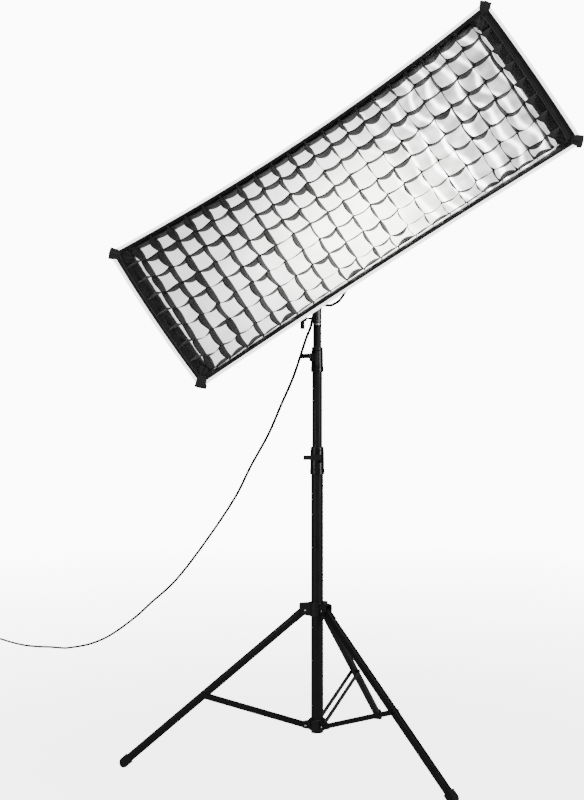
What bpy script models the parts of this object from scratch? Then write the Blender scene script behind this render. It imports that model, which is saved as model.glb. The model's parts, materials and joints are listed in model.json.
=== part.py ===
"""Studio strip softbox with fabric grid, lamp head, telescopic light stand and mains lead.

Metres, +Z up. The stand stands on Z = 0 and the softbox looks towards -Y.
Everything hangs from the empty stand_axis, which is the vertical axis of the stand's tubes.
"""

import math

import bmesh
import bpy
from mathutils import Matrix, Vector

# Place of the stand's axis on the floor
STAND_X = -0.0579
STAND_Y = -0.0378

# Play
GAP = 0.0003
SLIDING_GAP = 0.0005

# Stand tubes
LOWER_TUBE_R = 0.0175
MIDDLE_TUBE_R = 0.0145
TOP_TUBE_R = 0.0120
TUBE_WALL = 0.0014
LOWER_TUBE_Z = (0.0790, 0.850)
MIDDLE_TUBE_Z = (0.450, 1.150)
TOP_TUBE_Z = (0.600, 1.2423)
LOWER_COLLAR_Z = (0.816, 0.8946)
LOWER_COLLAR_R = (0.0211, 0.0189)
UPPER_COLLAR_Z = (1.108, 1.1794)
UPPER_COLLAR_R = (0.0183, 0.0160)

# Tripod
LEG_AZIMUTHS = {"left": 172.0, "right": 52.0, "back": -68.0}  # from +X towards -Y, degrees
PIVOT_R = 0.037
UPPER_PIVOT_Z = 0.430
LOWER_PIVOT_Z = 0.102
FOOT_R = 0.549
FOOT_TIP_R = 0.01225
LEG_DEPTH = 0.022
LEG_WIDTH = 0.018
LEG_WALL = 0.0016
BRACE_SHARE = 0.5645  # of the way down the leg
BAR_HEIGHT = 0.0140
BAR_THICKNESS = 0.003
BAR_INNER = 0.0100
HUB_KNOB_AZIMUTH = math.radians(128)
PIN_R = 0.0025

# Head
HEAD_TURN = math.radians(-4.07)
ROLL = math.radians(32.81)
LAMP_X = 0.0792
LAMP_Z = 1.568
SOCKET_R = 0.0125
SOCKET_Z = (1.2470, 1.3250)
CLAMP_SCREW_Z = 1.261
ARM_X = (-0.006, 0.002)
LAMP_R = 0.062
LAMP_Y = -0.025
LAMP_BACK = 0.1812

# Softbox, in the frame of softbox_axis: X long way, Z short way, -Y forward
RING_Y = -0.060
SOFTBOX_DEPTH = 0.221
HALF_LONG = 0.582
HALF_SHORT = 0.2095
CORNER_REACH = 0.0085
FABRIC = 0.0016
RING_R = (0.0564, 0.0735)
RING_SPAN = (-0.0215, 0.0044)
NECK_HALF = 0.0790
NECK_Y = -0.0080
ROD_FROM = Vector((0.0530, -0.0155, 0.0530))
ROD_BEND = Vector((0.540, -0.070, 0.192))
RECESS = 0.050
GRID_CELLS = (20, 8)
GRID_HALF = (0.5375, 0.190)
GRID_DEPTH = 0.040
GRID_STRIP = 0.0012

# Mains lead
LEAD_R = 0.0040
COIL_R = 0.040
COIL_CENTRE = (-1.4218, 2.0423, 0)
PLUG_GAP = 0.0392

BLACK = (0.020, 0.020, 0.022)
DARK = (0.045, 0.045, 0.050)
GREY = (0.110, 0.112, 0.118)
SILVER = (0.620, 0.620, 0.630)
WHITE = (0.860, 0.850, 0.820)


# ---------------------------------------------------------------- tools


def clear_scene():
    for thing in list(bpy.data.objects):
        bpy.data.objects.remove(thing, do_unlink=True)


def material(name, color, roughness, metallic=0.0):
    made = bpy.data.materials.get(name) or bpy.data.materials.new(name)
    made.use_nodes = True
    shader = made.node_tree.nodes["Principled BSDF"]
    shader.inputs["Base Color"].default_value = (*color, 1.0)
    shader.inputs["Roughness"].default_value = roughness
    shader.inputs["Metallic"].default_value = metallic
    return made


PAINT = ("black_paint", BLACK, 0.38, 0.3)
CAST = ("black_cast", BLACK, 0.45, 0.2)
PLASTIC = ("black_plastic", BLACK, 0.55, 0.0)
RUBBER = ("rubber", DARK, 0.85, 0.0)
STEEL = ("steel", SILVER, 0.30, 1.0)
ALLOY = ("grey_alloy", GREY, 0.40, 0.8)
CLOTH = ("black_cloth", BLACK, 0.90, 0.0)
DIFFUSER = ("diffuser_cloth", WHITE, 0.90, 0.0)
HOUSING = ("housing", DARK, 0.50, 0.1)
LIGHT_YELLOW = ("led_yellow", (0.80, 0.62, 0.12), 0.35, 0.0)
CABLE = ("cable", BLACK, 0.60, 0.0)


def empty(name, parent, location=(0, 0, 0), rotation=(0, 0, 0)):
    made = bpy.data.objects.new(name, None)
    bpy.context.scene.collection.objects.link(made)
    made.parent = parent
    made.location = location
    made.rotation_euler = rotation
    return made


def add(name, mesh, look, parent, location=(0, 0, 0), rotation=(0, 0, 0)):
    """An object for this mesh, on its parent's axis, with its own material."""
    made = bpy.data.objects.new(name, mesh)
    bpy.context.scene.collection.objects.link(made)
    made.data.materials.append(material(*look))
    made.parent = parent
    made.location = location
    made.rotation_euler = rotation
    return made


def finished(name, work, angle=35):
    """A mesh from this bmesh, its faces out and its round sides smooth."""
    bmesh.ops.recalc_face_normals(work, faces=work.faces)
    mesh = bpy.data.meshes.new(name)
    work.to_mesh(mesh)
    work.free()
    mesh.shade_smooth()
    mesh.set_sharp_from_angle(angle=math.radians(angle))
    return mesh


def moved(mesh, matrix):
    mesh.transform(matrix)
    return mesh


def turned(name, profile, steps=32):
    """A solid turned about Z from a closed profile of (radius, height) points."""
    work = bmesh.new()
    rings = []
    for radius, height in profile:
        if radius < 1e-6:
            rings.append([work.verts.new((0, 0, height))])
            continue
        ring = []
        for i in range(steps):
            a = math.tau * i / steps
            ring.append(work.verts.new((radius * math.cos(a), radius * math.sin(a), height)))
        rings.append(ring)
    for ring, other in zip(rings, rings[1:] + rings[:1]):
        for i in range(steps):
            j = (i + 1) % steps
            if len(ring) == 1 and len(other) == 1:
                break
            if len(ring) == 1:
                work.faces.new((ring[0], other[j], other[i]))
            elif len(other) == 1:
                work.faces.new((ring[i], ring[j], other[0]))
            else:
                work.faces.new((ring[i], ring[j], other[j], other[i]))
    return finished(name, work)


def rounded(half_x, half_y, radius, steps=3, centre=(0, 0)):
    """Points round a rectangle whose corners are arcs."""
    points = []
    for n, (sx, sy) in enumerate(((1, 1), (-1, 1), (-1, -1), (1, -1))):
        for i in range(steps + 1):
            a = math.pi / 2 * (n + i / steps)
            x = centre[0] + sx * (half_x - radius) + radius * math.cos(a)
            y = centre[1] + sy * (half_y - radius) + radius * math.sin(a)
            points.append((x, y))
    return points


def arc(centre, radius, start, end, steps):
    """Points on an arc, angles in degrees."""
    points = []
    for i in range(steps + 1):
        a = math.radians(start + (end - start) * i / steps)
        points.append((centre[0] + radius * math.cos(a), centre[1] + radius * math.sin(a)))
    return points


def extruded(name, outline, low, high, holes=(), angle=35):
    """A plate along Z between low and high, from an outline and the outlines of its holes."""
    work = bmesh.new()
    edges = []
    for loop in (outline, *holes):
        verts = [work.verts.new((x, y, low)) for x, y in loop]
        for a, b in zip(verts, verts[1:] + verts[:1]):
            edges.append(work.edges.new((a, b)))
    made = bmesh.ops.triangle_fill(work, use_beauty=True, edges=edges)
    faces = [g for g in made["geom"] if isinstance(g, bmesh.types.BMFace)]
    grown = bmesh.ops.extrude_face_region(work, geom=faces)["geom"]
    top = [g for g in grown if isinstance(g, bmesh.types.BMVert)]
    bmesh.ops.translate(work, verts=top, vec=(0, 0, high - low))
    return finished(name, work, angle)


def block(name, low, high, bevel=0.0, segments=2):
    """A box between two corners, its edges rounded."""
    work = bmesh.new()
    bmesh.ops.create_cube(work, size=1.0)
    size = Vector(high) - Vector(low)
    middle = (Vector(high) + Vector(low)) / 2
    bmesh.ops.scale(work, vec=size, verts=work.verts)
    bmesh.ops.translate(work, vec=middle, verts=work.verts)
    if bevel:
        bmesh.ops.bevel(
            work,
            geom=work.edges[:],
            offset=bevel,
            segments=segments,
            profile=0.5,
            affect="EDGES",
        )
    return finished(name, work, 50)


def rod_mesh(name, start, end, radius, steps=16):
    """A straight round bar between two points."""
    start, end = Vector(start), Vector(end)
    length = (end - start).length
    mesh = turned(name, [(0, 0), (radius, 0), (radius, length), (0, length)], steps)
    turn = (end - start).to_track_quat("Z", "Y").to_matrix().to_4x4()
    return moved(mesh, Matrix.Translation(start) @ turn)


def combined(target, mesh, operation):
    """Joins a helper mesh to target, or cuts it away, and applies that at once."""
    helper = bpy.data.objects.new(mesh.name + "_helper", mesh)
    bpy.context.scene.collection.objects.link(helper)
    work = bpy.data.objects.new("work", target)
    bpy.context.scene.collection.objects.link(work)
    modifier = work.modifiers.new("Boolean", "BOOLEAN")
    modifier.operation = operation
    modifier.solver = "EXACT"
    modifier.object = helper
    bpy.context.view_layer.update()
    graph = bpy.context.evaluated_depsgraph_get()
    made = bpy.data.meshes.new_from_object(work.evaluated_get(graph))
    made.name = target.name
    bpy.data.objects.remove(work)
    bpy.data.objects.remove(helper)
    made.shade_smooth()
    made.set_sharp_from_angle(angle=math.radians(35))
    return made


def joined(target, *meshes):
    for mesh in meshes:
        target = combined(target, mesh, "UNION")
    return target


def cut(target, *meshes):
    for mesh in meshes:
        target = combined(target, mesh, "DIFFERENCE")
    return target


def along_x(mesh):
    """Turns a mesh made along Z so that it lies along X."""
    return moved(mesh, Matrix.Rotation(math.pi / 2, 4, "Y"))


def along_y(mesh):
    """Turns a mesh made along Z so that it lies along Y."""
    return moved(mesh, Matrix.Rotation(-math.pi / 2, 4, "X"))


def bezier(a, b, c, t):
    return a * (1 - t) ** 2 + b * (2 * t * (1 - t)) + c * t * t


def smooth_line(points, spacing, before=None, after=None):
    """Points about spacing apart on a smooth curve through the given points."""
    line = []
    first = before or points[0] * 2 - points[1]
    last = after or points[-1] * 2 - points[-2]
    padded = [first, *points, last]
    for p0, p1, p2, p3 in zip(padded, padded[1:], padded[2:], padded[3:]):
        count = max(1, round((p2 - p1).length / spacing))
        for i in range(count):
            t = i / count
            bend = (p2 - p0) * t
            bend += (p0 * 2 - p1 * 5 + p2 * 4 - p3) * t**2
            bend += (p1 * 3 - p0 - p2 * 3 + p3) * t**3
            line.append(p1 + bend / 2)
    line.append(points[-1].copy())
    return line


def cord(name, points, radius, look, parent, resolution=2):
    """A round cord along these points, its ends closed."""
    curve = bpy.data.curves.new(name, "CURVE")
    curve.dimensions = "3D"
    curve.bevel_depth = radius
    curve.bevel_resolution = resolution
    curve.use_fill_caps = True
    spline = curve.splines.new("POLY")
    spline.points.add(len(points) - 1)
    for place, point in zip(spline.points, points):
        place.co = (*point, 1.0)
    return add(name, curve, look, parent)


# ---------------------------------------------------------------- stand


def tube(name, radius, heights, parent, plugged=0.0):
    """A round tube, its foot closed to the height of the moulded plug in it."""
    low, high = heights
    inner = radius - TUBE_WALL
    profile = [(radius, low), (radius, high), (inner, high)]
    if plugged:
        profile += [(inner, low + plugged), (0, low + plugged), (0, low)]
    else:
        profile += [(inner, low)]
    return add(name, turned(name, profile), PAINT, parent)


def collar(name, heights, radii, below_r, above_r, shelf, parent, lever_side):
    """A clamp collar at a tube's mouth, with a split clamp ear that carries a cam lever."""
    low, high = heights
    inner_low, inner_high = below_r + GAP, above_r + GAP
    lip = 0.0012
    profile = [
        (radii[0] - lip, low),
        (radii[0], low + lip),
        (radii[0], low + 0.014),
        (radii[0] - 0.0008, low + 0.016),
        (radii[1] + 0.0008, high - 0.012),
        (radii[1], high - 0.010),
        (radii[1], high - lip),
        (radii[1] - lip, high),
        (inner_high, high),
        (inner_high, shelf + GAP),
        (inner_low, shelf + GAP),
        (inner_low, low),
    ]
    mesh = turned(name, profile, 32)
    middle = (low + high) / 2 + 0.006
    reach = radii[0] + 0.0115
    turn = Matrix.Rotation(lever_side, 4, "Z")
    for side in (-1, 1):
        near, far = sorted((side * 0.0015, side * 0.0065))
        low_corner = (near, -reach, middle - 0.012)
        high_corner = (far, -inner_high - 0.0010, middle + 0.012)
        ear = block("ear", low_corner, high_corner, 0.0012, 1)
        mesh = joined(mesh, moved(ear, turn))
    bores = [
        (0, low - 0.01),
        (inner_low, low - 0.01),
        (inner_low, shelf + GAP),
        (inner_high, shelf + GAP),
        (inner_high, high + 0.01),
        (0, high + 0.01),
    ]
    return add(name, cut(mesh, turned("bores", bores)), CAST, parent)


def cam_lever(name, pivot_r, height, turn, parent, length):
    """A flip lever on a vertical pin, lying round the collar's side when it is closed."""
    base = empty(
        name + "_axis",
        parent,
        (math.sin(turn) * pivot_r, -math.cos(turn) * pivot_r, height),
        (0, 0, turn),
    )
    outline = [
        *arc((0, 0), 0.0062, -110, 80, 8),
        (-0.010, 0.0052),
        (-0.022, 0.0050),
        (-length + 0.004, 0.0030),
        *arc((-length + 0.003, 0.0000), 0.0030, 90, 250, 4),
        (-0.020, -0.0035),
    ]
    mesh = extruded(name, outline, -0.0066, 0.0066)
    return add(name, mesh, PLASTIC, base)


def lower_stand(root):
    tube("lower_tube", LOWER_TUBE_R, LOWER_TUBE_Z, root, 0.014)
    collar(
        "lower_collar",
        LOWER_COLLAR_Z,
        LOWER_COLLAR_R,
        LOWER_TUBE_R,
        MIDDLE_TUBE_R,
        LOWER_TUBE_Z[1],
        root,
        math.radians(8),
    )
    cam_lever(
        "lower_collar_lever", LOWER_COLLAR_R[0] + 0.0182, 0.8650, math.radians(8), root, 0.046
    )


def spreader_hub(root):
    """The fixed ring at the tube's foot: three lugs with the pins that the brace bars turn on."""
    z = LOWER_PIVOT_Z
    ring = [
        (0.0225, z - 0.0154),
        (0.0245, z - 0.0134),
        (0.0245, z + 0.0146),
        (0.0225, z + 0.0166),
        (LOWER_TUBE_R + GAP, z + 0.0166),
        (LOWER_TUBE_R + GAP, z - 0.0154),
    ]
    mesh = turned("spreader_hub", ring, 32)
    half = BAR_INNER - SLIDING_GAP
    for azimuth in LEG_AZIMUTHS.values():
        turn = Matrix.Rotation(-math.radians(azimuth), 4, "Z")
        outline = [
            (0.0215, -0.0120),
            *arc((PIVOT_R, 0), 0.0092, -70, 70, 8),
            (0.0215, 0.0120),
        ]
        lug = extruded("lug", outline, -half, half)
        lug = moved(lug, Matrix.Translation((0, 0, z)) @ Matrix.Rotation(math.pi / 2, 4, "X"))
        mesh = joined(mesh, moved(lug, turn))
        reach = BAR_INNER + BAR_THICKNESS + 0.0004
        profile = [
            (0, -reach - 0.0018),
            (0.0032, -reach - 0.0018),
            (0.0045, -reach - 0.0004),
            (0.0045, -reach),
            (PIN_R, -reach),
            (PIN_R, reach),
            (0.0045, reach),
            (0.0045, reach + 0.0004),
            (0.0032, reach + 0.0018),
            (0, reach + 0.0018),
        ]
        pin = turned("pin", profile, 12)
        pin = moved(pin, Matrix.Rotation(math.pi / 2, 4, "X"))
        pin = moved(pin, Matrix.Translation((PIVOT_R, 0, z)))
        mesh = joined(mesh, moved(pin, turn))
    return add("spreader_hub", mesh, CAST, root)


def clevis(half_width, slot_half):
    """A fork with a closed top that holds a leg's knuckle, reaching out along +X."""
    outline = [
        (0.0195, -0.0165),
        (0.0300, -0.0160),
        *arc((PIVOT_R, 0), 0.0130, -70, -5, 6),
        (0.0505, 0.0070),
        *arc((0.0450, 0.0135), 0.0055, 0, 90, 3),
        (0.0195, 0.0200),
    ]
    fork = extruded("fork", outline, -half_width, half_width)
    fork = moved(fork, Matrix.Rotation(math.pi / 2, 4, "X"))
    slot = block("slot", (0.0258, -slot_half, -0.0300), (0.0700, slot_half, 0.0148))
    return cut(fork, slot)


def leg_hub(root):
    """The hub that slides on the lower tube: a fork and a pin for each leg, and a clamp knob."""
    base = empty("leg_hub_axis", root, (0, 0, UPPER_PIVOT_Z))
    ring = [
        (0.0235, -0.0183),
        (0.0250, -0.0168),
        (0.0250, 0.0196),
        (0.0235, 0.0211),
        (LOWER_TUBE_R + SLIDING_GAP, 0.0211),
        (LOWER_TUBE_R + SLIDING_GAP, -0.0183),
    ]
    mesh = turned("leg_hub", ring, 32)
    inner = LEG_WIDTH / 2 + SLIDING_GAP
    outer = inner + 0.0040
    for azimuth in LEG_AZIMUTHS.values():
        turn = Matrix.Rotation(-math.radians(azimuth), 4, "Z")
        mesh = joined(mesh, moved(clevis(outer, inner), turn))
        ends = (PIVOT_R, -outer - 0.0014, 0), (PIVOT_R, outer + 0.0014, 0)
        mesh = joined(mesh, moved(rod_mesh("pin", *ends, PIN_R + 0.0005, 12), turn))
    turn = Matrix.Rotation(HUB_KNOB_AZIMUTH, 4, "Z")
    boss = rod_mesh("boss", (0.0215, 0, 0), (0.0320, 0, 0), 0.0085, 16)
    mesh = joined(mesh, moved(boss, turn))
    hole = rod_mesh("hole", (0.0150, 0, 0), (0.0340, 0, 0), 0.0034, 12)
    mesh = cut(mesh, moved(hole, turn))
    bore = rod_mesh("bore", (0, 0, -0.04), (0, 0, 0.04), LOWER_TUBE_R + SLIDING_GAP, 32)
    add("leg_hub", cut(mesh, bore), CAST, base)
    knob = [
        (0, 0.0184),
        (0.0030, 0.0184),
        (0.0030, 0.0324),
        (0.0100, 0.0324),
        (0.0125, 0.0350),
        (0.0125, 0.0480),
        (0.0105, 0.0500),
        (0, 0.0500),
    ]
    knob_base = empty("hub_lock_knob_axis", base, (0, 0, 0), (0, 0, HUB_KNOB_AZIMUTH))
    knob_mesh = along_x(turned("hub_lock_knob", knob, 24))
    for i in range(6):
        a = math.tau * (i + 0.5) / 6
        y, z = 0.0158 * math.cos(a), 0.0158 * math.sin(a)
        knob_mesh = cut(knob_mesh, rod_mesh("flute", (0.0345, y, z), (0.0520, y, z), 0.0052, 12))
    add("hub_lock_knob", knob_mesh, PLASTIC, knob_base)
    return base


def leg_frames(azimuth):
    """A leg's outward unit vector, its angle from the vertical and its length between pivot and foot."""
    a = math.radians(azimuth)
    out = Vector((math.cos(a), -math.sin(a), 0))
    run = FOOT_R - PIVOT_R
    drop = UPPER_PIVOT_Z - FOOT_TIP_R
    return out, math.atan2(run, drop), math.hypot(run, drop)


def legs_and_braces(root, hub):
    for name, azimuth in LEG_AZIMUTHS.items():
        out, tilt, length = leg_frames(azimuth)
        turn = (0, -tilt, -math.radians(azimuth))
        base = empty(f"leg_{name}_axis", hub, out * PIVOT_R, turn)
        # in this frame -Z runs down the leg and Y runs sideways
        outer = rounded(LEG_DEPTH / 2, LEG_WIDTH / 2, 0.0055, 3)
        inner = rounded(LEG_DEPTH / 2 - LEG_WALL, LEG_WIDTH / 2 - LEG_WALL, 0.0040, 3)
        mesh = extruded("leg", outer, -length + 0.0048, -0.0150, [inner])
        outline = [
            *arc((0, 0), 0.0106, 0, 180, 10),
            (-0.0106, -0.0400),
            (0.0106, -0.0400),
        ]
        knuckle = extruded("knuckle", outline, -0.0086, 0.0086)
        knuckle = moved(knuckle, Matrix.Rotation(math.pi / 2, 4, "X"))
        mesh = joined(mesh, knuckle)
        hole = rod_mesh("hole", (0, -0.02, 0), (0, 0.02, 0), PIN_R + 0.0008, 12)
        mesh = cut(mesh, hole)
        mesh.name = f"leg_{name}"
        add(f"leg_{name}", mesh, PAINT, base)
        foot_outline = [
            (0.0126, 0.0210),
            (-0.0126, 0.0210),
            (-FOOT_TIP_R, 0.0160),
            *arc((0, 0), FOOT_TIP_R, 180, 360, 12),
            (FOOT_TIP_R, 0.0160),
        ]
        foot = extruded("foot", foot_outline, -0.0104, 0.0104)
        foot = moved(foot, Matrix.Rotation(math.pi / 2, 4, "X"))
        pocket = extruded(
            "pocket",
            rounded(LEG_DEPTH / 2 + GAP, LEG_WIDTH / 2 + GAP, 0.0055, 3),
            0.0045,
            0.0500,
        )
        foot = cut(foot, pocket)
        foot.name = f"foot_{name}"
        foot = moved(foot, Matrix.Translation((0, 0, -length)))
        add(f"foot_{name}", foot, RUBBER, base)
        brace(root, name, azimuth, out)


def brace(root, name, azimuth, out):
    """Two flat bars on either side of the leg, from the spreader hub's pin to the leg."""
    run = (FOOT_R - PIVOT_R) * BRACE_SHARE
    rise = UPPER_PIVOT_Z - (UPPER_PIVOT_Z - FOOT_TIP_R) * BRACE_SHARE - LOWER_PIVOT_Z
    length = math.hypot(run, rise)
    lift = math.atan2(rise, run)
    place = out * PIVOT_R + Vector((0, 0, LOWER_PIVOT_Z))
    base = empty(f"brace_{name}_axis", root, place, (0, -lift, -math.radians(azimuth)))
    half = BAR_HEIGHT / 2
    outline = [
        *arc((0, 0), half, 90, 270, 8),
        *arc((length, 0), half, -90, 90, 8),
    ]
    hole = arc((0, 0), PIN_R + SLIDING_GAP, 0, 330, 11)
    for side, label in ((-1, "a"), (1, "b")):
        low, high = sorted((side * BAR_INNER, side * (BAR_INNER + BAR_THICKNESS)))
        bar = extruded("bar", outline, low, high, [hole])
        rivet_from = side * (BAR_INNER + BAR_THICKNESS / 2)
        rivet_to = side * (BAR_INNER + BAR_THICKNESS + 0.0018)
        rivet = rod_mesh("rivet", (length, 0, rivet_from), (length, 0, rivet_to), 0.0045, 12)
        bar = joined(bar, rivet)
        bar.name = f"brace_{name}_{label}"
        bar = moved(bar, Matrix.Rotation(math.pi / 2, 4, "X"))
        add(f"brace_{name}_{label}", bar, PAINT, base)


def columns(root):
    middle = empty("middle_column_axis", root, (0, 0, 0))
    tube("middle_tube", MIDDLE_TUBE_R, MIDDLE_TUBE_Z, middle)
    collar(
        "upper_collar",
        UPPER_COLLAR_Z,
        UPPER_COLLAR_R,
        MIDDLE_TUBE_R,
        TOP_TUBE_R,
        MIDDLE_TUBE_Z[1],
        middle,
        math.radians(-38),
    )
    cam_lever(
        "upper_collar_lever", UPPER_COLLAR_R[0] + 0.0182, 1.1530, math.radians(-38), middle, 0.030
    )
    top = empty("top_column_axis", middle, (0, 0, 0))
    tube("top_tube", TOP_TUBE_R, TOP_TUBE_Z, top)
    high = TOP_TUBE_Z[1]
    inner = TOP_TUBE_R - TUBE_WALL - GAP
    stud = [
        (0, high - 0.030),
        (inner, high - 0.030),
        (inner, high + GAP),
        (0.0125, high + GAP),
        (0.0125, high + 0.0040),
        (0.0078, high + 0.0044),
        (0.0078, high + 0.0120),
        (0.0064, high + 0.0140),
        (0.0064, high + 0.0220),
        (0.0078, high + 0.0240),
        (0.0078, high + 0.0640),
        (0.0068, high + 0.0655),
        (0, high + 0.0655),
    ]
    add("stud", turned("stud", stud, 24), STEEL, top)
    return top


# ---------------------------------------------------------------- bracket


def socket(head):
    low, high = SOCKET_Z
    bore = 0.0081
    profile = [
        (SOCKET_R - 0.0010, low),
        (SOCKET_R, low + 0.0010),
        (SOCKET_R, high - 0.0015),
        (SOCKET_R - 0.0015, high),
        (0, high),
        (0, low + 0.0625),
        (bore, low + 0.0610),
        (bore, low),
    ]
    mesh = turned("bracket_socket", profile, 32)
    hole = rod_mesh("hole", (-0.0200, 0, CLAMP_SCREW_Z), (-0.0040, 0, CLAMP_SCREW_Z), 0.0034, 12)
    slot = block("slot", (-0.0020, -0.0200, CLAMP_SCREW_Z - 0.004), (0.0020, -0.0060, CLAMP_SCREW_Z + 0.006))
    add("bracket_socket", cut(mesh, hole, slot), ALLOY, head)


def socket_lock(head):
    """The clamp screw in the socket's side, and the bent handle that turns it."""
    base = empty("socket_lock_axis", head, (0, 0, CLAMP_SCREW_Z))
    screw = rod_mesh("screw", (-0.0090, 0, 0), (-0.0400, 0, 0), 0.0029, 12)
    barrel = rod_mesh("barrel", (-0.0303, 0, 0), (-0.0480, 0, 0), 0.0084, 16)
    arm = rod_mesh("arm", (-0.0420, 0, 0.0010), (-0.0420, -0.0010, -0.0300), 0.0062, 16)
    mesh = joined(barrel, screw, arm)
    mesh.name = "socket_lock_handle"
    add("socket_lock_handle", mesh, PLASTIC, base)


def bracket_arm(head):
    """The single upright arm beside the lamp, with the pivot hole at its top."""
    foot_z = SOCKET_Z[1] + GAP
    half_foot, half_top = 0.0160, 0.0210
    outline = [
        (-half_foot, foot_z),
        (half_foot, foot_z),
        (half_foot, foot_z + 0.030),
        *arc((0, LAMP_Z), half_top, -15, 195, 12),
        (-half_foot, foot_z + 0.030),
    ]
    pivot_hole = arc((0, LAMP_Z), 0.0053, 0, 337.5, 15)
    slot = [
        *arc((0, foot_z + 0.165), 0.0055, 0, 180, 6),
        *arc((0, foot_z + 0.065), 0.0055, 180, 360, 6),
    ]
    plate = extruded("bracket_arm", outline, *ARM_X, [pivot_hole, slot])
    # outline is (y, z): carry it into the YZ plane
    plate = moved(plate, Matrix(((0, 0, 1, 0), (1, 0, 0, 0), (0, 1, 0, 0), (0, 0, 0, 1))))
    foot = block("foot", (-0.0150, -0.0150, foot_z), (0.0150, 0.0150, foot_z + 0.0080), 0.0015, 1)
    mesh = joined(plate, foot)
    for y in (-0.0080, 0.0080):
        head_low = foot_z + 0.0070
        screw = rod_mesh("screw", (0.0090, y, head_low), (0.0090, y, head_low + 0.0040), 0.0032, 10)
        mesh = joined(mesh, screw)
    add("bracket_arm", mesh, ALLOY, head)


def tilt_lock(head):
    """The clamp lever left of the arm. Its bolt runs through the arm into the lamp's pivot disc."""
    base = empty("tilt_lock_axis", head, (0, 0, LAMP_Z))
    outer_x = ARM_X[0]
    profile = [
        (0, 0.0155),
        (0.0050, 0.0155),
        (0.0050, outer_x - GAP),
        (0.0130, outer_x - GAP),
        (0.0145, outer_x - 0.0020),
        (0.0145, outer_x - 0.0160),
        (0.0125, outer_x - 0.0180),
        (0, outer_x - 0.0180),
    ]
    hub = along_x(turned("hub", profile, 24))
    start, end = (outer_x - 0.0100, 0.004, -0.006), (outer_x - 0.0160, 0.028, -0.045)
    grip = rod_mesh("grip", start, end, 0.0055, 12)
    mesh = joined(hub, grip)
    mesh.name = "tilt_lock_lever"
    add("tilt_lock_lever", mesh, PLASTIC, base)


# ---------------------------------------------------------------- lamp


def lamp_round(name, profile, steps=40):
    """A solid turned about the lamp's optical axis from (radius, depth) points."""
    mesh = along_y(turned(name, profile, steps))
    return moved(mesh, Matrix.Translation((0, LAMP_Y, 0)))


def lamp_block(name, low, high, bevel=0.0):
    """A box between two corners, set back with the lamp."""
    return moved(block(name, low, high, bevel, 1), Matrix.Translation((0, LAMP_Y, 0)))


def front_housing(base):
    """The front shell, with the pad and the disc that the bracket's arm clamps."""
    side = LAMP_X - ARM_X[1]
    outer = [
        (0.0560, -0.0118),
        (0.0600, -0.0118),
        (LAMP_R, -0.0098),
        (LAMP_R, 0.0680),
        (LAMP_R - 0.0025, 0.0680),
        (LAMP_R - 0.0025, -0.0090),
        (0.0560, -0.0090),
    ]
    shell = lamp_round("front_housing", outer)
    pad_low = (-LAMP_R - 0.0030, -0.0230, -0.0230)
    pad = block("pad", pad_low, (-LAMP_R + 0.0090, 0.0230, 0.0230), 0.002, 1)
    inner = LAMP_R - 0.0025
    inside = lamp_round("inside", [(0, -0.03), (inner, -0.03), (inner, 0.09), (0, 0.09)])
    disc = rod_mesh("disc", (-side + GAP, 0, 0), (-LAMP_R - 0.0010, 0, 0), 0.0210, 24)
    bore = rod_mesh("bore", (-side - 0.005, 0, 0), (-side + 0.0150, 0, 0), 0.0053, 16)
    shell = cut(joined(shell, cut(pad, inside), disc), bore)
    add("front_housing", shell, HOUSING, base)


def rear_housing(base):
    """The rear shell, with its row of vents on each side."""
    outer = [
        (0.0600, 0.0683),
        (LAMP_R - 0.0005, 0.0700),
        (LAMP_R - 0.0005, 0.1700),
        (LAMP_R - 0.0030, 0.1760),
        (0.0540, 0.1760),
        (0.0540, 0.1736),
        (LAMP_R - 0.0045, 0.1690),
        (LAMP_R - 0.0030, 0.0683),
    ]
    shell = lamp_round("rear_housing", outer)
    for i in range(6):
        z = -0.0225 + 0.009 * i
        for side in (-1, 1):
            near, far = sorted((side * 0.0400, side * 0.0700))
            vent = lamp_block("vent", (near, 0.085, z - 0.0018), (far, 0.155, z + 0.0018))
            shell = cut(shell, vent)
    add("rear_housing", shell, HOUSING, base)


def optics(base):
    """The accessory mount, the light source on its heat sink, and the cup round it."""
    mount = [
        (0.0500, -0.0300),
        (0.0690, -0.0300),
        (0.0700, -0.0290),
        (0.0700, -0.0150),
        (0.0660, -0.0121),
        (0.0500, -0.0121),
    ]
    add("mount_collar", lamp_round("mount_collar", mount, 48), ALLOY, base)
    source = [
        (0, 0.0007),
        (0.0190, 0.0007),
        (0.0190, 0.0040),
        (0.0485, 0.0040),
        (0.0590, 0.0100),
        (0.0590, 0.0280),
        (0, 0.0280),
    ]
    add("led_module", lamp_round("led_module", source, 32), LIGHT_YELLOW, base)
    cup = [
        (0.0210, 0.0037),
        (0.0225, 0.0037),
        (0.0475, -0.0260),
        (0.0475, -0.0290),
        (0.0460, -0.0290),
    ]
    add("reflector_cup", lamp_round("reflector_cup", cup), STEEL, base)


def carry_handle(base):
    top = LAMP_R + 0.0002
    path = [
        Vector((0, 0.088, top)),
        Vector((0, 0.089, top + 0.018)),
        Vector((0, 0.095, top + 0.032)),
        Vector((0, 0.108, top + 0.038)),
        Vector((0, 0.124, top + 0.0385)),
        Vector((0, 0.140, top + 0.038)),
        Vector((0, 0.153, top + 0.032)),
        Vector((0, 0.159, top + 0.018)),
        Vector((0, 0.160, top)),
    ]
    path = [point + Vector((0, LAMP_Y, 0)) for point in path]
    cord("carry_handle", smooth_line(path, 0.009), 0.0060, PLASTIC, base)


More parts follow.
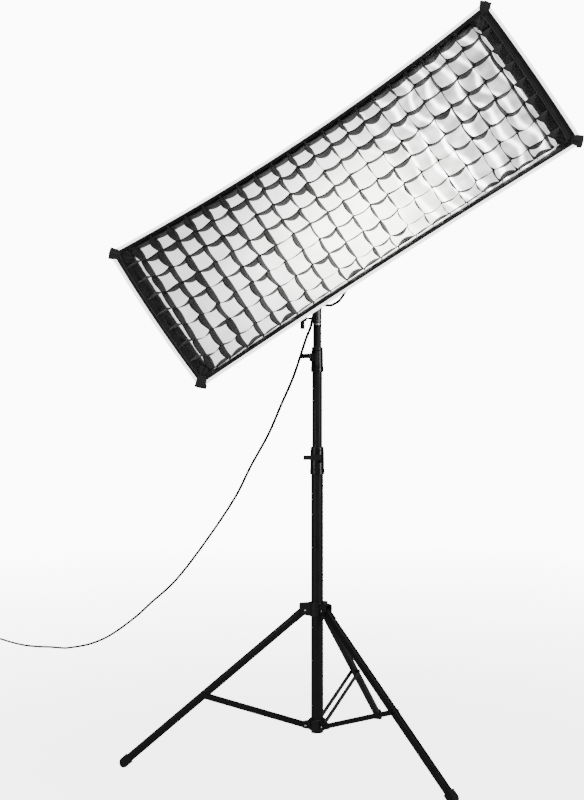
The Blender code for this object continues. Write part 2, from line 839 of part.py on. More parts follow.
def rear_panel(base):
    """The panel that closes the lamp, with recesses for its controls."""
    face = LAMP_BACK
    plate = [
        (0, 0.1763),
        (0.0530, 0.1763),
        (0.0530, face - 0.0010),
        (0.0515, face),
        (0, face),
    ]
    panel = lamp_round("rear_panel", plate)
    hollows = (
        ((-0.0260, face - 0.0028, -0.0105), (0.0260, face + 0.01, -0.0035)),
        ((-0.0420, face - 0.0038, -0.0320), (-0.0250, face + 0.01, -0.0200)),
        ((-0.0140, 0.1700, -0.0480), (0.0140, 0.1900, -0.0250)),
        ((-0.0330, face - 0.0012, 0.0090), (0.0110, face + 0.01, 0.0330)),
    )
    for low, high in hollows:
        panel = cut(panel, lamp_block("hollow", low, high))
    shaft = rod_mesh("shaft", (0.0280, 0.1400, 0.0210), (0.0280, 0.1700, 0.0210), 0.0036, 12)
    add("rear_panel", cut(panel, shaft), PLASTIC, base)


def controls(base):
    face = LAMP_BACK + LAMP_Y
    low = (-0.0256, face - 0.0014, -0.0101)
    button = block("mode_button", low, (0.0256, face + 0.0016, -0.0039), 0.0005, 1)
    add("mode_button", button, RUBBER, base)
    rocker_axis = empty("power_switch_axis", base, (-0.0335, face - 0.0006, -0.0260))
    outline = [(-0.0054, -0.0010), (0.0054, -0.0010), (0.0056, 0.0010), (0, 0.0020), (-0.0056, 0.0042)]
    rocker = extruded("power_switch", outline, -0.0079, 0.0079)
    # the outline is (height, depth)
    rocker = moved(rocker, Matrix(((0, 0, -1, 0), (0, 1, 0, 0), (1, 0, 0, 0), (0, 0, 0, 1))))
    add("power_switch", rocker, RUBBER, rocker_axis)
    dial_axis = empty("control_dial_axis", base, (0.0280, face, 0.0210))
    dial = [
        (0, -0.0042),
        (0.0030, -0.0042),
        (0.0030, GAP),
        (0.0110, GAP),
        (0.0120, 0.0012),
        (0.0110, 0.0150),
        (0.0100, 0.0160),
        (0, 0.0160),
    ]
    add("control_dial", along_y(turned("control_dial", dial, 24)), PLASTIC, dial_axis)
    inlet = block("inlet", (-0.0136, face - 0.0150, -0.0476), (0.0136, face + 0.0012, -0.0254), 0.001, 1)
    plug = block("plug", (-0.0102, face - 0.0010, -0.0442), (0.0102, face + 0.0240, -0.0288), 0.002, 2)
    boot = rod_mesh("boot", (0, face + 0.0220, -0.0365), (0, face + 0.0480, -0.0365), 0.0055, 12)
    add("lead_connector", joined(inlet, plug, boot), RUBBER, base)


def lamp(head):
    """The lamp head, in the frame of tilt_axis: its optical axis is Y, and it looks along -Y."""
    base = empty("tilt_axis", head, (LAMP_X, 0, LAMP_Z))
    front_housing(base)
    rear_housing(base)
    optics(base)
    carry_handle(base)
    rear_panel(base)
    controls(base)
    return base


# ---------------------------------------------------------------- softbox


def corner_path(t):
    """The rod's line towards the +X +Z corner, at share t."""
    end = Vector((HALF_LONG - 0.0068, -SOFTBOX_DEPTH + 0.004, HALF_SHORT - 0.0068))
    return bezier(ROD_FROM, ROD_BEND, end, t)


def section(t, inset):
    """Points round the fabric at share t, moved inwards by inset and clear of the rods."""
    point = corner_path(t)
    radius = 0.040 * (1 - t) ** 2 + 0.008
    outwards = 0.0044 + 0.3 * radius
    point += Vector((outwards, 0.0010 + 0.0055 * (1 - t), outwards))
    if t == 0:
        point = Vector((NECK_HALF, NECK_Y, NECK_HALF))
        radius = 0.058
    if t == 1:
        point.y = -SOFTBOX_DEPTH
    half_x = max(point.x, NECK_HALF) - inset
    half_z = max(point.z, NECK_HALF) - inset
    depth = point.y - inset * (1 - t)
    return [Vector((x, depth, z)) for x, z in rounded(half_x, half_z, radius, 3)]


def fabric_shell(box):
    """The open black fabric cone, sewn from four panels along the rods."""
    work = bmesh.new()
    shares = [0, 0.06, 0.14, 0.24, 0.36, 0.48, 0.60, 0.71, 0.81, 0.91, 1.0]
    loops = [section(t, 0) for t in shares] + [section(t, FABRIC) for t in reversed(shares)]
    rings = [[work.verts.new(p) for p in loop] for loop in loops]
    for ring, other in zip(rings, rings[1:] + rings[:1]):
        count = len(ring)
        for i in range(count):
            j = (i + 1) % count
            work.faces.new((ring[i], ring[j], other[j], other[i]))
    add("fabric_shell", finished("fabric_shell", work), CLOTH, box)


def band(name, front, back, front_y, back_y, thickness, look, box):
    """A sloping band inside the mouth, between a larger front outline and a smaller back one."""
    work = bmesh.new()
    loops = []
    for (half_x, half_z), y in (
        (front, front_y),
        (back, back_y),
        ((back[0] - thickness, back[1] - thickness), back_y),
        ((front[0] - thickness, front[1] - thickness), front_y),
    ):
        loops.append([Vector((x, y, z)) for x, z in rounded(half_x, half_z, 0.022, 3)])
    rings = [[work.verts.new(p) for p in loop] for loop in loops]
    for ring, other in zip(rings, rings[1:] + rings[:1]):
        count = len(ring)
        for i in range(count):
            j = (i + 1) % count
            work.faces.new((ring[i], ring[j], other[j], other[i]))
    add(name, finished(name, work), look, box)


def sheet(name, half, y, thickness, look, box):
    mesh = extruded(name, rounded(*half, 0.012, 3), 0, thickness)
    mesh = moved(mesh, Matrix.Rotation(math.pi / 2, 4, "X"))
    add(name, moved(mesh, Matrix.Translation((0, y + thickness, 0))), look, box)


def grid(box):
    """The egg-crate lattice: cells of one size, between strips set on edge."""
    outer = [
        (GRID_HALF[0] + GRID_STRIP / 2, GRID_HALF[1] + GRID_STRIP / 2),
        (-GRID_HALF[0] - GRID_STRIP / 2, GRID_HALF[1] + GRID_STRIP / 2),
        (-GRID_HALF[0] - GRID_STRIP / 2, -GRID_HALF[1] - GRID_STRIP / 2),
        (GRID_HALF[0] + GRID_STRIP / 2, -GRID_HALF[1] - GRID_STRIP / 2),
    ]
    across, down = GRID_CELLS
    step_x = 2 * GRID_HALF[0] / across
    step_z = 2 * GRID_HALF[1] / down
    holes = []
    for i in range(across):
        for j in range(down):
            x = -GRID_HALF[0] + step_x * i + GRID_STRIP / 2
            z = -GRID_HALF[1] + step_z * j + GRID_STRIP / 2
            far_x = x + step_x - GRID_STRIP
            far_z = z + step_z - GRID_STRIP
            holes.append([(x, z), (far_x, z), (far_x, far_z), (x, far_z)])
    mesh = extruded("egg_crate_grid", outer, 0, GRID_DEPTH, holes)
    mesh = moved(mesh, Matrix.Rotation(math.pi / 2, 4, "X"))
    front = -SOFTBOX_DEPTH + 0.006
    add("egg_crate_grid", moved(mesh, Matrix.Translation((0, front + GRID_DEPTH, 0))), CLOTH, box)


def corner_pockets(box):
    """A stitched pocket over each front corner, which holds the rod's tip."""
    reach = CORNER_REACH
    inner_x, inner_z = HALF_LONG + GAP, HALF_SHORT + GAP
    outline = [
        (inner_x - 0.042, inner_z),
        (inner_x, inner_z),
        (inner_x, inner_z - 0.034),
        (inner_x + reach * 0.45, inner_z - 0.034),
        (inner_x + reach, inner_z - 0.010),
        (inner_x + reach, inner_z + reach * 0.6),
        (inner_x + reach * 0.6, inner_z + reach),
        (inner_x - 0.012, inner_z + reach),
        (inner_x - 0.042, inner_z + reach * 0.45),
    ]
    for name, sx, sz in (("a", 1, 1), ("b", -1, 1), ("c", -1, -1), ("d", 1, -1)):
        placed = [(sx * x, sz * z) for x, z in outline]
        mesh = extruded("pocket", placed, 0, 0.034)
        mesh = moved(mesh, Matrix.Rotation(math.pi / 2, 4, "X"))
        mesh = moved(mesh, Matrix.Translation((0, -SOFTBOX_DEPTH + 0.034, 0)))
        add(f"corner_pocket_{name}", mesh, CLOTH, box)


def rod_corners():
    """Start and direction of each rod, corner by corner."""
    for name, sx, sz in (("a", 1, 1), ("b", -1, 1), ("c", -1, -1), ("d", 1, -1)):
        start = Vector((sx * ROD_FROM.x, ROD_FROM.y, sz * ROD_FROM.z))
        bend = Vector((sx * ROD_BEND.x, ROD_BEND.y, sz * ROD_BEND.z))
        yield name, sx, sz, start, (bend - start).normalized()


def speed_ring(base, box):
    """The ring that carries the rods, round an insert that is locked in the lamp's mount."""
    low, high = RING_SPAN
    inner, outer = RING_R
    insert = [
        (0.0490, low - 0.0030),
        (0.0640, low - 0.0030),
        (0.0640, low - GAP),
        (inner - 0.0004, low - GAP),
        (inner - 0.0004, high + GAP),
        (0.0490, high + GAP),
    ]
    insert_mesh = along_y(turned("mount_insert", insert, 48))
    add("mount_insert", moved(insert_mesh, Matrix.Translation((0, RING_Y, 0))), ALLOY, base)
    profile = [
        (inner, low),
        (outer - 0.0015, low),
        (outer, low + 0.0015),
        (outer, high - 0.0015),
        (outer - 0.0015, high),
        (inner, high),
    ]
    mesh = along_y(turned("speed_ring", profile, 48))
    for _, _, _, start, aim in rod_corners():
        mesh = joined(mesh, rod_mesh("sleeve", start - aim * 0.012, start + aim * 0.012, 0.0058, 12))
    for _, _, _, start, aim in rod_corners():
        mesh = cut(mesh, rod_mesh("hole", start, start + aim * 0.030, 0.0031, 12))
    screw_hole = rod_mesh("hole", (0, 0.0005, -0.0540), (0, 0.0005, -0.0800), 0.0029, 12)
    add("speed_ring", cut(mesh, screw_hole), ALLOY, box)
    knob = [
        (0, -0.0600),
        (0.0025, -0.0600),
        (0.0025, -0.0742),
        (0.0065, -0.0742),
        (0.0080, -0.0760),
        (0.0080, -0.0880),
        (0.0065, -0.0900),
        (0, -0.0900),
    ]
    knob_axis = empty("ring_lock_axis", box, (0, 0.0005, 0))
    add("ring_lock_knob", turned("ring_lock_knob", knob, 16), PLASTIC, knob_axis)


def rods(box):
    for name, sx, sz, _, _ in rod_corners():
        points = []
        for i in range(13):
            point = corner_path(0.003 + 0.985 * i / 12)
            points.append(Vector((sx * point.x, point.y, sz * point.z)))
        cord(f"rod_{name}", points, 0.0022, STEEL, box, 1)


def softbox(base):
    box = empty("softbox_axis", base, (0, RING_Y, 0), (0, -ROLL, 0))
    speed_ring(base, box)
    fabric_shell(box)
    rods(box)
    front_y = -SOFTBOX_DEPTH + 0.0005
    band(
        "mouth_band",
        (HALF_LONG - FABRIC - 0.0012, HALF_SHORT - FABRIC - 0.0012),
        (0.5475, 0.1960),
        front_y,
        -SOFTBOX_DEPTH + RECESS,
        0.0012,
        CLOTH,
        box,
    )
    sheet("front_diffuser", (0.5440, 0.1925), -SOFTBOX_DEPTH + RECESS + GAP, 0.0012, DIFFUSER, box)
    sheet("inner_baffle", (0.4200, 0.1450), -0.1160, 0.0010, DIFFUSER, box)
    grid(box)
    corner_pockets(box)


# ---------------------------------------------------------------- mains lead


def coil_and_plug(root):
    """The rest of the lead: a neat round coil on the floor, and the mains plug beside it."""
    width = 3 * LEAD_R
    height = 5.5 * LEAD_R
    outline = rounded(width, height / 2, 0.8 * LEAD_R, 2, (COIL_R, height / 2 + 0.0002))
    mesh = turned("lead_coil", outline, 32)
    add("lead_coil", mesh, CABLE, root, COIL_CENTRE)
    boot = rod_mesh("boot", (0, 0, 0), (0.028, 0, 0), 0.0052, 12)
    body = block("body", (0.0240, -0.0150, -0.0118), (0.0620, 0.0150, 0.0118), 0.0045, 2)
    mesh = joined(boot, body)
    for y in (-0.0095, 0.0095):
        mesh = joined(mesh, rod_mesh("pin", (0.0610, y, 0), (0.0810, y, 0), 0.0024, 12))
    mesh.name = "mains_plug"
    place = (COIL_CENTRE[0] - COIL_R, COIL_CENTRE[1] - PLUG_GAP, 0.0120)
    add("mains_plug", mesh, RUBBER, root, place, (0, 0, -math.pi / 2))


def lead(root):
    """The mains lead, cut at its ties: lamp to bracket, past the socket, then down to the floor."""
    floor_z = LEAD_R + 0.0002
    route = [
        (0.0935, 0.1986, 1.5315),
        (0.0955, 0.2260, 1.5300),
        (0.0975, 0.2530, 1.5120),
        (0.0985, 0.2640, 1.4750),
        (0.0975, 0.2500, 1.4300),
        (0.0945, 0.2130, 1.3900),
        (0.0885, 0.1560, 1.3560),
        (0.0686, 0.1000, 1.3215),
        (0.0500, 0.0700, 1.3070),
        (0.0382, 0.0540, 1.3020),
        (0.0149, 0.0330, 1.3015),
        (0.0010, 0.0245, 1.2950),
        (-0.0090, 0.0190, 1.2780),
        (-0.0145, 0.0175, 1.2560),
        (-0.0200, 0.0240, 1.2330),
        (-0.0323, 0.0556, 1.2030),
        (-0.0670, 0.1164, 1.0990),
        (-0.1051, 0.1834, 1.0120),
        (-0.1442, 0.2520, 0.9230),
        (-0.1996, 0.3493, 0.8230),
        (-0.2556, 0.4475, 0.7140),
        (-0.3586, 0.6282, 0.5590),
        (-0.4720, 0.8272, 0.4080),
        (-0.5789, 1.0149, 0.3000),
        (-0.6532, 1.1452, 0.2260),
        (-0.7680, 1.3468, 0.1290),
        (-0.8725, 1.5301, 0.0640),
        (-0.9840, 1.7265, 0.0150),
        (-1.0240, 1.7830, floor_z),
        (-1.0700, 1.8030, floor_z),
        (-1.1250, 1.8130, floor_z),
        (-1.1840, 1.8430, floor_z),
        (-1.2510, 1.9100, floor_z),
        (-1.3240, 2.0040, floor_z),
        (-1.3660, 2.0460, floor_z),
    ]
    route = [Vector(place) for place in route]
    pieces = (
        ("lead_to_lamp", 0, 9, 0.018),
        ("lead_at_socket", 9, 14, 0.012),
        ("lead_upper", 14, 20, 0.045),
        ("lead_lower", 20, 34, 0.064),
    )
    for name, first, last, spacing in pieces:
        before = route[first - 1] if first else None
        after = route[last + 1] if last + 1 < len(route) else None
        line = smooth_line(route[first : last + 1], spacing, before, after)
        if before:
            along = (route[first + 1] - before).normalized()
            line[0:1] = [line[0] + along * GAP / 2, line[0] + along * LEAD_R]
        if after:
            along = (after - route[last - 1]).normalized()
            line[-1:] = [line[-1] - along * LEAD_R, line[-1] - along * GAP / 2]
        cord(name, line, LEAD_R, CABLE, root)
    coil_and_plug(root)


def main():
    clear_scene()
    root = empty("stand_axis", None, (STAND_X, STAND_Y, 0))
    lower_stand(root)
    spreader_hub(root)
    hub = leg_hub(root)
    legs_and_braces(root, hub)
    top = columns(root)
    head = empty("head_axis", top, (0, 0, 0), (0, 0, HEAD_TURN))
    socket(head)
    socket_lock(head)
    bracket_arm(head)
    tilt_lock(head)
    base = lamp(head)
    softbox(base)
    lead(root)


main()
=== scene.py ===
"""The studio strip softbox on its stand: cloth, cords, materials and light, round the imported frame."""
import json
from math import atan2, copysign, cos, exp, pi, radians, sin, sqrt, tau

import bpy
from mathutils import Matrix, Vector, noise


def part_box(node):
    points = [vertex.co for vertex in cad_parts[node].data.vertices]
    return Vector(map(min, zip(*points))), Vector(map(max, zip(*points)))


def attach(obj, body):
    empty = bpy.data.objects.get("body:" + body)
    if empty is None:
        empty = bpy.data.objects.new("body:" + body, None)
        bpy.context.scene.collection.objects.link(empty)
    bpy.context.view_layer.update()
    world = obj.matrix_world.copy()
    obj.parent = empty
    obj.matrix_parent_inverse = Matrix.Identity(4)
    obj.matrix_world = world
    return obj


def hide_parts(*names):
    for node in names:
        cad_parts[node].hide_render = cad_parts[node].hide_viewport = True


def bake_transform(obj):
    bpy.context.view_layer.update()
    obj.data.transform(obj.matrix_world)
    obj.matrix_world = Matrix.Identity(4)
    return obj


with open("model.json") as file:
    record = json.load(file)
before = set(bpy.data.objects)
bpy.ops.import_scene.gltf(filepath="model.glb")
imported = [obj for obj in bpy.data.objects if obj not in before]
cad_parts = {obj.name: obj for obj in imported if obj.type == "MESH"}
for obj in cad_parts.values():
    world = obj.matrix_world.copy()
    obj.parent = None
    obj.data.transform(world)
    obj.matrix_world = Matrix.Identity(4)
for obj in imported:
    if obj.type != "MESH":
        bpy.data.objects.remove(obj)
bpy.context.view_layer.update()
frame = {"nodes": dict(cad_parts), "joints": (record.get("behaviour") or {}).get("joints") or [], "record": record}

NODES = frame["nodes"]
JOINTS = {joint["name"]: joint for joint in frame["joints"]}

# softbox, in its own frame: X along its length, Z across it, -Y towards its mouth
HALF_LONG = 0.582
HALF_SHORT = 0.2095
DEPTH = 0.221
NECK_HALF = 0.0790
NECK_Y = -0.0080
ROD_FROM = Vector((0.0530, -0.0155, 0.0530))
ROD_BEND = Vector((0.540, -0.070, 0.192))
FABRIC = 0.0014
TOP_BOW = 0.029  # how far the long upper rim is drawn in at its middle
LOWER_BOW = -0.0066  # the lower rim's, less than 0 because it is drawn in upwards
END_BOW = {-1: 0.006, 1: 0.004}  # how far each short rim stands out at its middle
END_REACH = {-1: 0.007, 1: 0.011}  # how far the cloth stands past the rods at each end
SKEW = 0.005  # how far the cloth is pulled along at its upper and lower rims
RIM_SPREAD = ((-0.002, 0.0044), (-0.004, -0.0097))  # of the upper and the lower rim, left and right
HEM_INSET = {-1: 0.006, 1: 0.018}  # the hem the grid is tied to, inside the rim of each short end
DIFFUSER_HALF = (0.5440, 0.1925)
DIFFUSER_Y = -0.1703
BAFFLE_HALF = (0.4200, 0.1450)
BAFFLE_Y = -0.1155
GRID_CELLS = (20, 8)
GRID_HALF = (0.5375, 0.197)
GRID_PITCH = (0.0513, 0.0540)  # between the long strips, at the left end and at the right
GRID_FRONT = -0.2160
GRID_BACK = -0.1745
STRIP = 0.0011
LIP_BACK = (0.5475, 0.1960)
LIP_BACK_Y = -0.171
CORNERS = {"a": (1, 1), "b": (-1, 1), "c": (-1, -1), "d": (1, -1)}

# mains lead
LEAD_R = 0.0040
ON_FLOOR = LEAD_R + 0.0002  # the height of the middle of a lead that lies on the floor
COIL_R = 0.040
COIL_TURNS = 7
COIL_PLACE = Vector((-1.4218, 2.0423, 0))  # from the stand's axis

BACKGROUND = 11.0  # how bright the white background looks


# -------- frames taken from the joints


def placed(origin, x, y, z):
    matrix = Matrix((x, y, z)).transposed().to_4x4()
    matrix.translation = origin
    return matrix


def joint_at(name):
    return Vector(JOINTS[name]["pos_m"])


def axis_of(name):
    return Vector(JOINTS[name]["axis"]).normalized()


STAND = Vector((*JOINTS["head_pan"]["pos_m"][:2], 0))
UP = Vector((0, 0, 1))
BOX_Y = axis_of("softbox_roll")
BOX_Z = axis_of("ring_knob_turn")
BOX = placed(joint_at("softbox_roll"), BOX_Y.cross(BOX_Z), BOX_Y, BOX_Z)
HEAD_X = axis_of("lamp_tilt")
DOWN_IN_BOX = BOX.to_3x3().inverted() @ Vector((0, 0, -1))


# -------- camera


def put_in_scene(name, data):
    made = bpy.data.objects.new(name, data)
    bpy.context.collection.objects.link(made)
    return made


def make_camera():
    data = bpy.data.cameras.new("camera")
    data.lens = 63
    data.sensor_width = 36
    camera = put_in_scene("camera", data)
    camera.location = STAND + Vector((-0.072, -4.0, 1.028))
    camera.rotation_euler = (radians(90), 0, 0)
    bpy.context.scene.camera = camera


# -------- materials


class Look:
    """A Principled material built node by node. Coordinates are metres."""

    def __init__(self, name, colour, roughness, metallic=0.0, uv=False, **sockets):
        self.material = bpy.data.materials.new(name)
        self.material.use_nodes = True
        self.tree = self.material.node_tree
        self.shader = self.tree.nodes["Principled BSDF"]
        self.colour = (*colour, 1)
        self.shader.inputs["Base Color"].default_value = self.colour
        self.shader.inputs["Roughness"].default_value = roughness
        self.shader.inputs["Metallic"].default_value = metallic
        for socket, value in sockets.items():
            self.shader.inputs[socket.replace("_", " ")].default_value = value
        self.coordinates = self.node("ShaderNodeTexCoord").outputs["UV" if uv else "Object"]
        self.normal = None

    def node(self, kind, **values):
        made = self.tree.nodes.new(kind)
        for key, value in values.items():
            if hasattr(made, key):
                setattr(made, key, value)
            else:
                made.inputs[key.replace("_", " ")].default_value = value
        return made

    def link(self, source, target):
        self.tree.links.new(source, target)

    def stretched(self, scale):
        """The coordinates scaled by x, y and z."""
        mapping = self.node("ShaderNodeMapping", Scale=scale)
        self.link(self.coordinates, mapping.inputs["Vector"])
        return mapping.outputs["Vector"]

    def noise(self, scale, detail=3.0, stretch=None, rough=0.5):
        made = self.node("ShaderNodeTexNoise", Scale=scale, Detail=detail, Roughness=rough)
        self.link(self.stretched(stretch) if stretch else self.coordinates, made.inputs["Vector"])
        return made.outputs["Fac"]

    def ramp(self, value, low, high, from_low=0.3, from_high=0.7):
        """value mapped to low..high."""
        made = self.node("ShaderNodeMapRange")
        for index, number in ((1, from_low), (2, from_high), (3, low), (4, high)):
            made.inputs[index].default_value = number
        self.link(value, made.inputs[0])
        return made.outputs[0]

    def math(self, operation, a, b):
        made = self.node("ShaderNodeMath", operation=operation)
        for index, side in enumerate((a, b)):
            if isinstance(side, (int, float)):
                made.inputs[index].default_value = side
            else:
                self.link(side, made.inputs[index])
        return made.outputs[0]

    def tint(self, factor, other):
        """Mixes the base colour towards other by factor."""
        made = self.node("ShaderNodeMix", data_type="RGBA")
        source = self.shader.inputs["Base Color"]
        if source.is_linked:
            self.link(source.links[0].from_socket, made.inputs[6])
        else:
            made.inputs[6].default_value = self.colour
        made.inputs[7].default_value = (*other, 1)
        self.link(factor, made.inputs[0])
        self.link(made.outputs[2], source)

    def rough(self, value):
        self.link(value, self.shader.inputs["Roughness"])

    def bump(self, height, distance, strength=1.0):
        made = self.node("ShaderNodeBump", Distance=distance, Strength=strength)
        self.link(height, made.inputs["Height"])
        if self.normal:
            self.link(self.normal, made.inputs["Normal"])
        self.normal = made.outputs["Normal"]
        self.link(self.normal, self.shader.inputs["Normal"])

    def threads(self, pitch):
        """Height of a plain weave: threads along U and along V, a pitch apart, one over the other."""
        waves = []
        for direction in ("X", "Y"):
            wave = self.node(
                "ShaderNodeTexWave", wave_type="BANDS", bands_direction=direction, Scale=0.31416 / pitch
            )
            self.link(self.coordinates, wave.inputs["Vector"])
            waves.append(wave.outputs["Fac"])
        return self.math("MAXIMUM", *waves)


def paint(name, colour, roughness, grain=0.00004, coat=0.0):
    """Powder coat or sprayed paint: fine orange peel, handling marks and dust."""
    look = Look(name, colour, roughness, Coat_Weight=coat, Coat_Roughness=0.18, Specular_IOR_Level=0.3)
    look.bump(look.noise(1400, 2), grain, 0.6)
    look.bump(look.noise(90, 4, (1, 1, 0.12)), 0.00006, 0.35)
    look.rough(look.ramp(look.noise(24, 5), roughness - 0.07, roughness + 0.10))
    look.tint(look.ramp(look.noise(9, 6, rough=0.7), 0.0, 0.2, 0.55, 0.8), (0.016, 0.016, 0.017))
    return look


def moulded(name, colour, roughness, pitch=900):
    """Moulded plastic or rubber with a fine spark-eroded grain."""
    look = Look(name, colour, roughness, Specular_IOR_Level=0.32)
    cells = look.node("ShaderNodeTexVoronoi", Scale=pitch)
    look.link(look.coordinates, cells.inputs["Vector"])
    look.bump(cells.outputs["Distance"], 0.00008, 0.5)
    look.rough(look.ramp(look.noise(30, 4), roughness - 0.08, roughness + 0.12))
    look.tint(look.ramp(look.noise(14, 6, rough=0.65), 0.0, 0.25, 0.52, 0.8), (0.022, 0.022, 0.023))
    return look


def bare_metal(name, colour, roughness, stretch=(1, 1, 14)):
    """Turned or brushed metal, with fine lines across the stretch axis."""
    look = Look(name, colour, roughness, 1.0)
    look.bump(look.noise(420, 3, stretch), 0.00003, 0.5)
    look.rough(look.ramp(look.noise(60, 4), roughness - 0.08, roughness + 0.14))
    look.tint(look.ramp(look.noise(35, 5), 0.0, 0.35, 0.5, 0.8), tuple(0.55 * c for c in colour))
    return look


def cloth(name, colour, pitch, roughness=0.85, sheen=0.25, lighter=(0.05, 0.05, 0.053), depth=0.00022):
    """Woven cloth, its threads along the piece's own UVs."""
    look = Look(name, colour, roughness, uv=True, Sheen_Weight=sheen, Sheen_Roughness=0.4)
    weave = look.threads(pitch)
    look.bump(weave, depth, 0.45)
    look.bump(look.noise(38, 5, rough=0.6), 0.0016, 0.35)
    look.rough(look.ramp(look.noise(26, 3), roughness - 0.10, roughness + 0.08))
    wear = look.ramp(look.noise(17, 6, rough=0.7), 0.0, 0.55, 0.45, 0.85)
    look.tint(look.math("MULTIPLY", wear, look.ramp(weave, 0.4, 1.0, 0, 1)), lighter)
    return look


def painted_glow(look, strength):
    """A painted glow: the piece gives out white light of its own, though it is no lamp, so that it looks brightly
    lit.
    """
    look.shader.inputs["Emission Color"].default_value = (1.0, 1.0, 1.0, 1)
    look.shader.inputs["Emission Strength"].default_value = strength
    return look


def diffuser_look(name, strength, warm, cool):
    """White diffusion cloth, lit from behind. The mesh's own shade says how much light comes through."""
    look = Look(name, (0.22, 0.22, 0.215), 0.8, uv=True, Sheen_Weight=0.15)
    look.bump(look.threads(0.0007), 0.00012, 0.3)
    shade = look.node("ShaderNodeAttribute", attribute_name="shade")
    parts = look.node("ShaderNodeSeparateColor")
    look.link(shade.outputs["Color"], parts.inputs["Color"])
    mixed = look.node("ShaderNodeMix", data_type="RGBA")
    mixed.inputs[6].default_value = (*cool, 1)
    mixed.inputs[7].default_value = (*warm, 1)
    look.link(parts.outputs["Green"], mixed.inputs[0])
    look.link(mixed.outputs[2], look.shader.inputs["Emission Color"])
    slubs = look.ramp(look.noise(160, 4, (1, 0.2, 1)), 0.97, 1.02)
    light = look.math("MULTIPLY", look.math("MULTIPLY", parts.outputs["Red"], slubs), strength)
    look.link(light, look.shader.inputs["Emission Strength"])
    return look


# -------- mesh helpers


def smooth_line(points, spacing, before=None, after=None):
    """Points about spacing apart on a smooth curve through the given points."""
    line = []
    first = before or points[0] * 2 - points[1]
    last = after or points[-1] * 2 - points[-2]
    padded = [first, *points, last]
    for p0, p1, p2, p3 in zip(padded, padded[1:], padded[2:], padded[3:]):
        count = max(1, round((p2 - p1).length / spacing))
        for i in range(count):
            t = i / count
            bend = (p2 - p0) * t
            bend += (p0 * 2 - p1 * 5 + p2 * 4 - p3) * t**2
            bend += (p1 * 3 - p0 - p2 * 3 + p3) * t**3
            line.append(p1 + bend / 2)
    line.append(points[-1].copy())
    return line


def circle(steps):
    """The cosines and sines of evenly spread angles all the way round."""
    return [(cos(tau * k / steps), sin(tau * k / steps)) for k in range(steps)]


def rings_along(path, radius, sides, squash=(1, 1), up=UP, closed=False):
    """Rings of points round a path. radius is a number or a function of the share along it."""
    rings = []
    count = len(path)
    side = None
    for i, point in enumerate(path):
        ahead = path[(i + 1) % count] if closed else path[min(i + 1, count - 1)]
        behind = path[i - 1] if closed else path[max(i - 1, 0)]
        along = (ahead - behind).normalized()
        reference = side.cross(along).normalized() if side else up
        side = along.cross(reference)
        if side.length < 1e-6:
            side = along.orthogonal()
        side.normalize()
        top = side.cross(along).normalized()
        reach = radius(i / (count - 1)) if callable(radius) else radius
        spokes = [side * c * squash[0] + top * s * squash[1] for c, s in circle(sides)]
        rings.append([point + spoke * reach for spoke in spokes])
    return rings


class Patches:
    """Collects sheets of points into one mesh, with UVs in metres along their rows and columns."""

    def __init__(self, rows=None, **how):
        self.points = []
        self.faces = []
        self.uvs = []
        self.shades = []
        if rows:
            self.add(rows, **how)

    def add(self, rows, closed=False, looped=False, capped=False, shade=None):
        """rows of points. closed joins each row's ends, and looped the last row to the first."""
        start = len(self.points)
        width = len(rows[0])
        height = len(rows)
        for row in rows:
            self.points.extend(row)
        if shade:
            for i in range(height):
                self.shades.extend(shade(i, j) for j in range(width))
        across = [[0.0] for _ in rows]
        for i, row in enumerate(rows):
            for a, b in zip(row, row[1:] + row[:1]):
                across[i].append(across[i][-1] + (b - a).length)
        down = [[0.0] * (width + 1)]
        for upper, lower in zip(rows, rows[1:] + rows[:1]):
            steps = [(lower[j % width] - upper[j % width]).length for j in range(width + 1)]
            down.append([total + step for total, step in zip(down[-1], steps)])
        for i in range(height if looped else height - 1):
            for j in range(width if closed else width - 1):
                corners = ((i, j), (i, j + 1), (i + 1, j + 1), (i + 1, j))
                self.faces.append([start + (a % height) * width + b % width for a, b in corners])
                self.uvs.extend((across[a % height][b], down[a][b]) for a, b in corners)
        if capped:
            for row, turn in ((0, -1), (height - 1, 1)):
                ring = [start + row * width + j for j in range(width)][::turn]
                self.faces.append(ring)
                self.uvs.extend((self.points[k].x, self.points[k].y) for k in ring)

    def build(self, name, matrix, look, body, slot, thickness=0.0, offset=0.0, inner=None, level=0):
        mesh = bpy.data.meshes.new(name)
        mesh.from_pydata([matrix @ point for point in self.points], [], self.faces)
        layer = mesh.uv_layers.new(name="UVMap")
        for place, uv in zip(layer.data, self.uvs):
            place.uv = uv
        if self.shades:
            shades = mesh.color_attributes.new("shade", "FLOAT_COLOR", "POINT")
            for place, value in zip(shades.data, self.shades):
                place.color = (*value, 1)
        mesh.materials.append(look.material)
        if inner:
            mesh.materials.append(inner.material)
        mesh.shade_smooth()
        piece = put_in_scene(name, mesh)
        if level:
            smoother = piece.modifiers.new("smooth", "SUBSURF")
            smoother.levels = smoother.render_levels = level
        if thickness:
            layer = piece.modifiers.new("thickness", "SOLIDIFY")
            layer.thickness = thickness
            layer.offset = offset
            if inner:
                layer.material_offset = 1
                layer.material_offset_rim = 0
        if body:
            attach(piece, body)
        return piece

    def sew(self, name, look, *layer, slot="black_cloth", **more):
        """Builds a piece of cloth that belongs to the softbox, from points in the softbox's frame."""
        return self.build(name, BOX, look, "softbox", slot, *layer, **more)


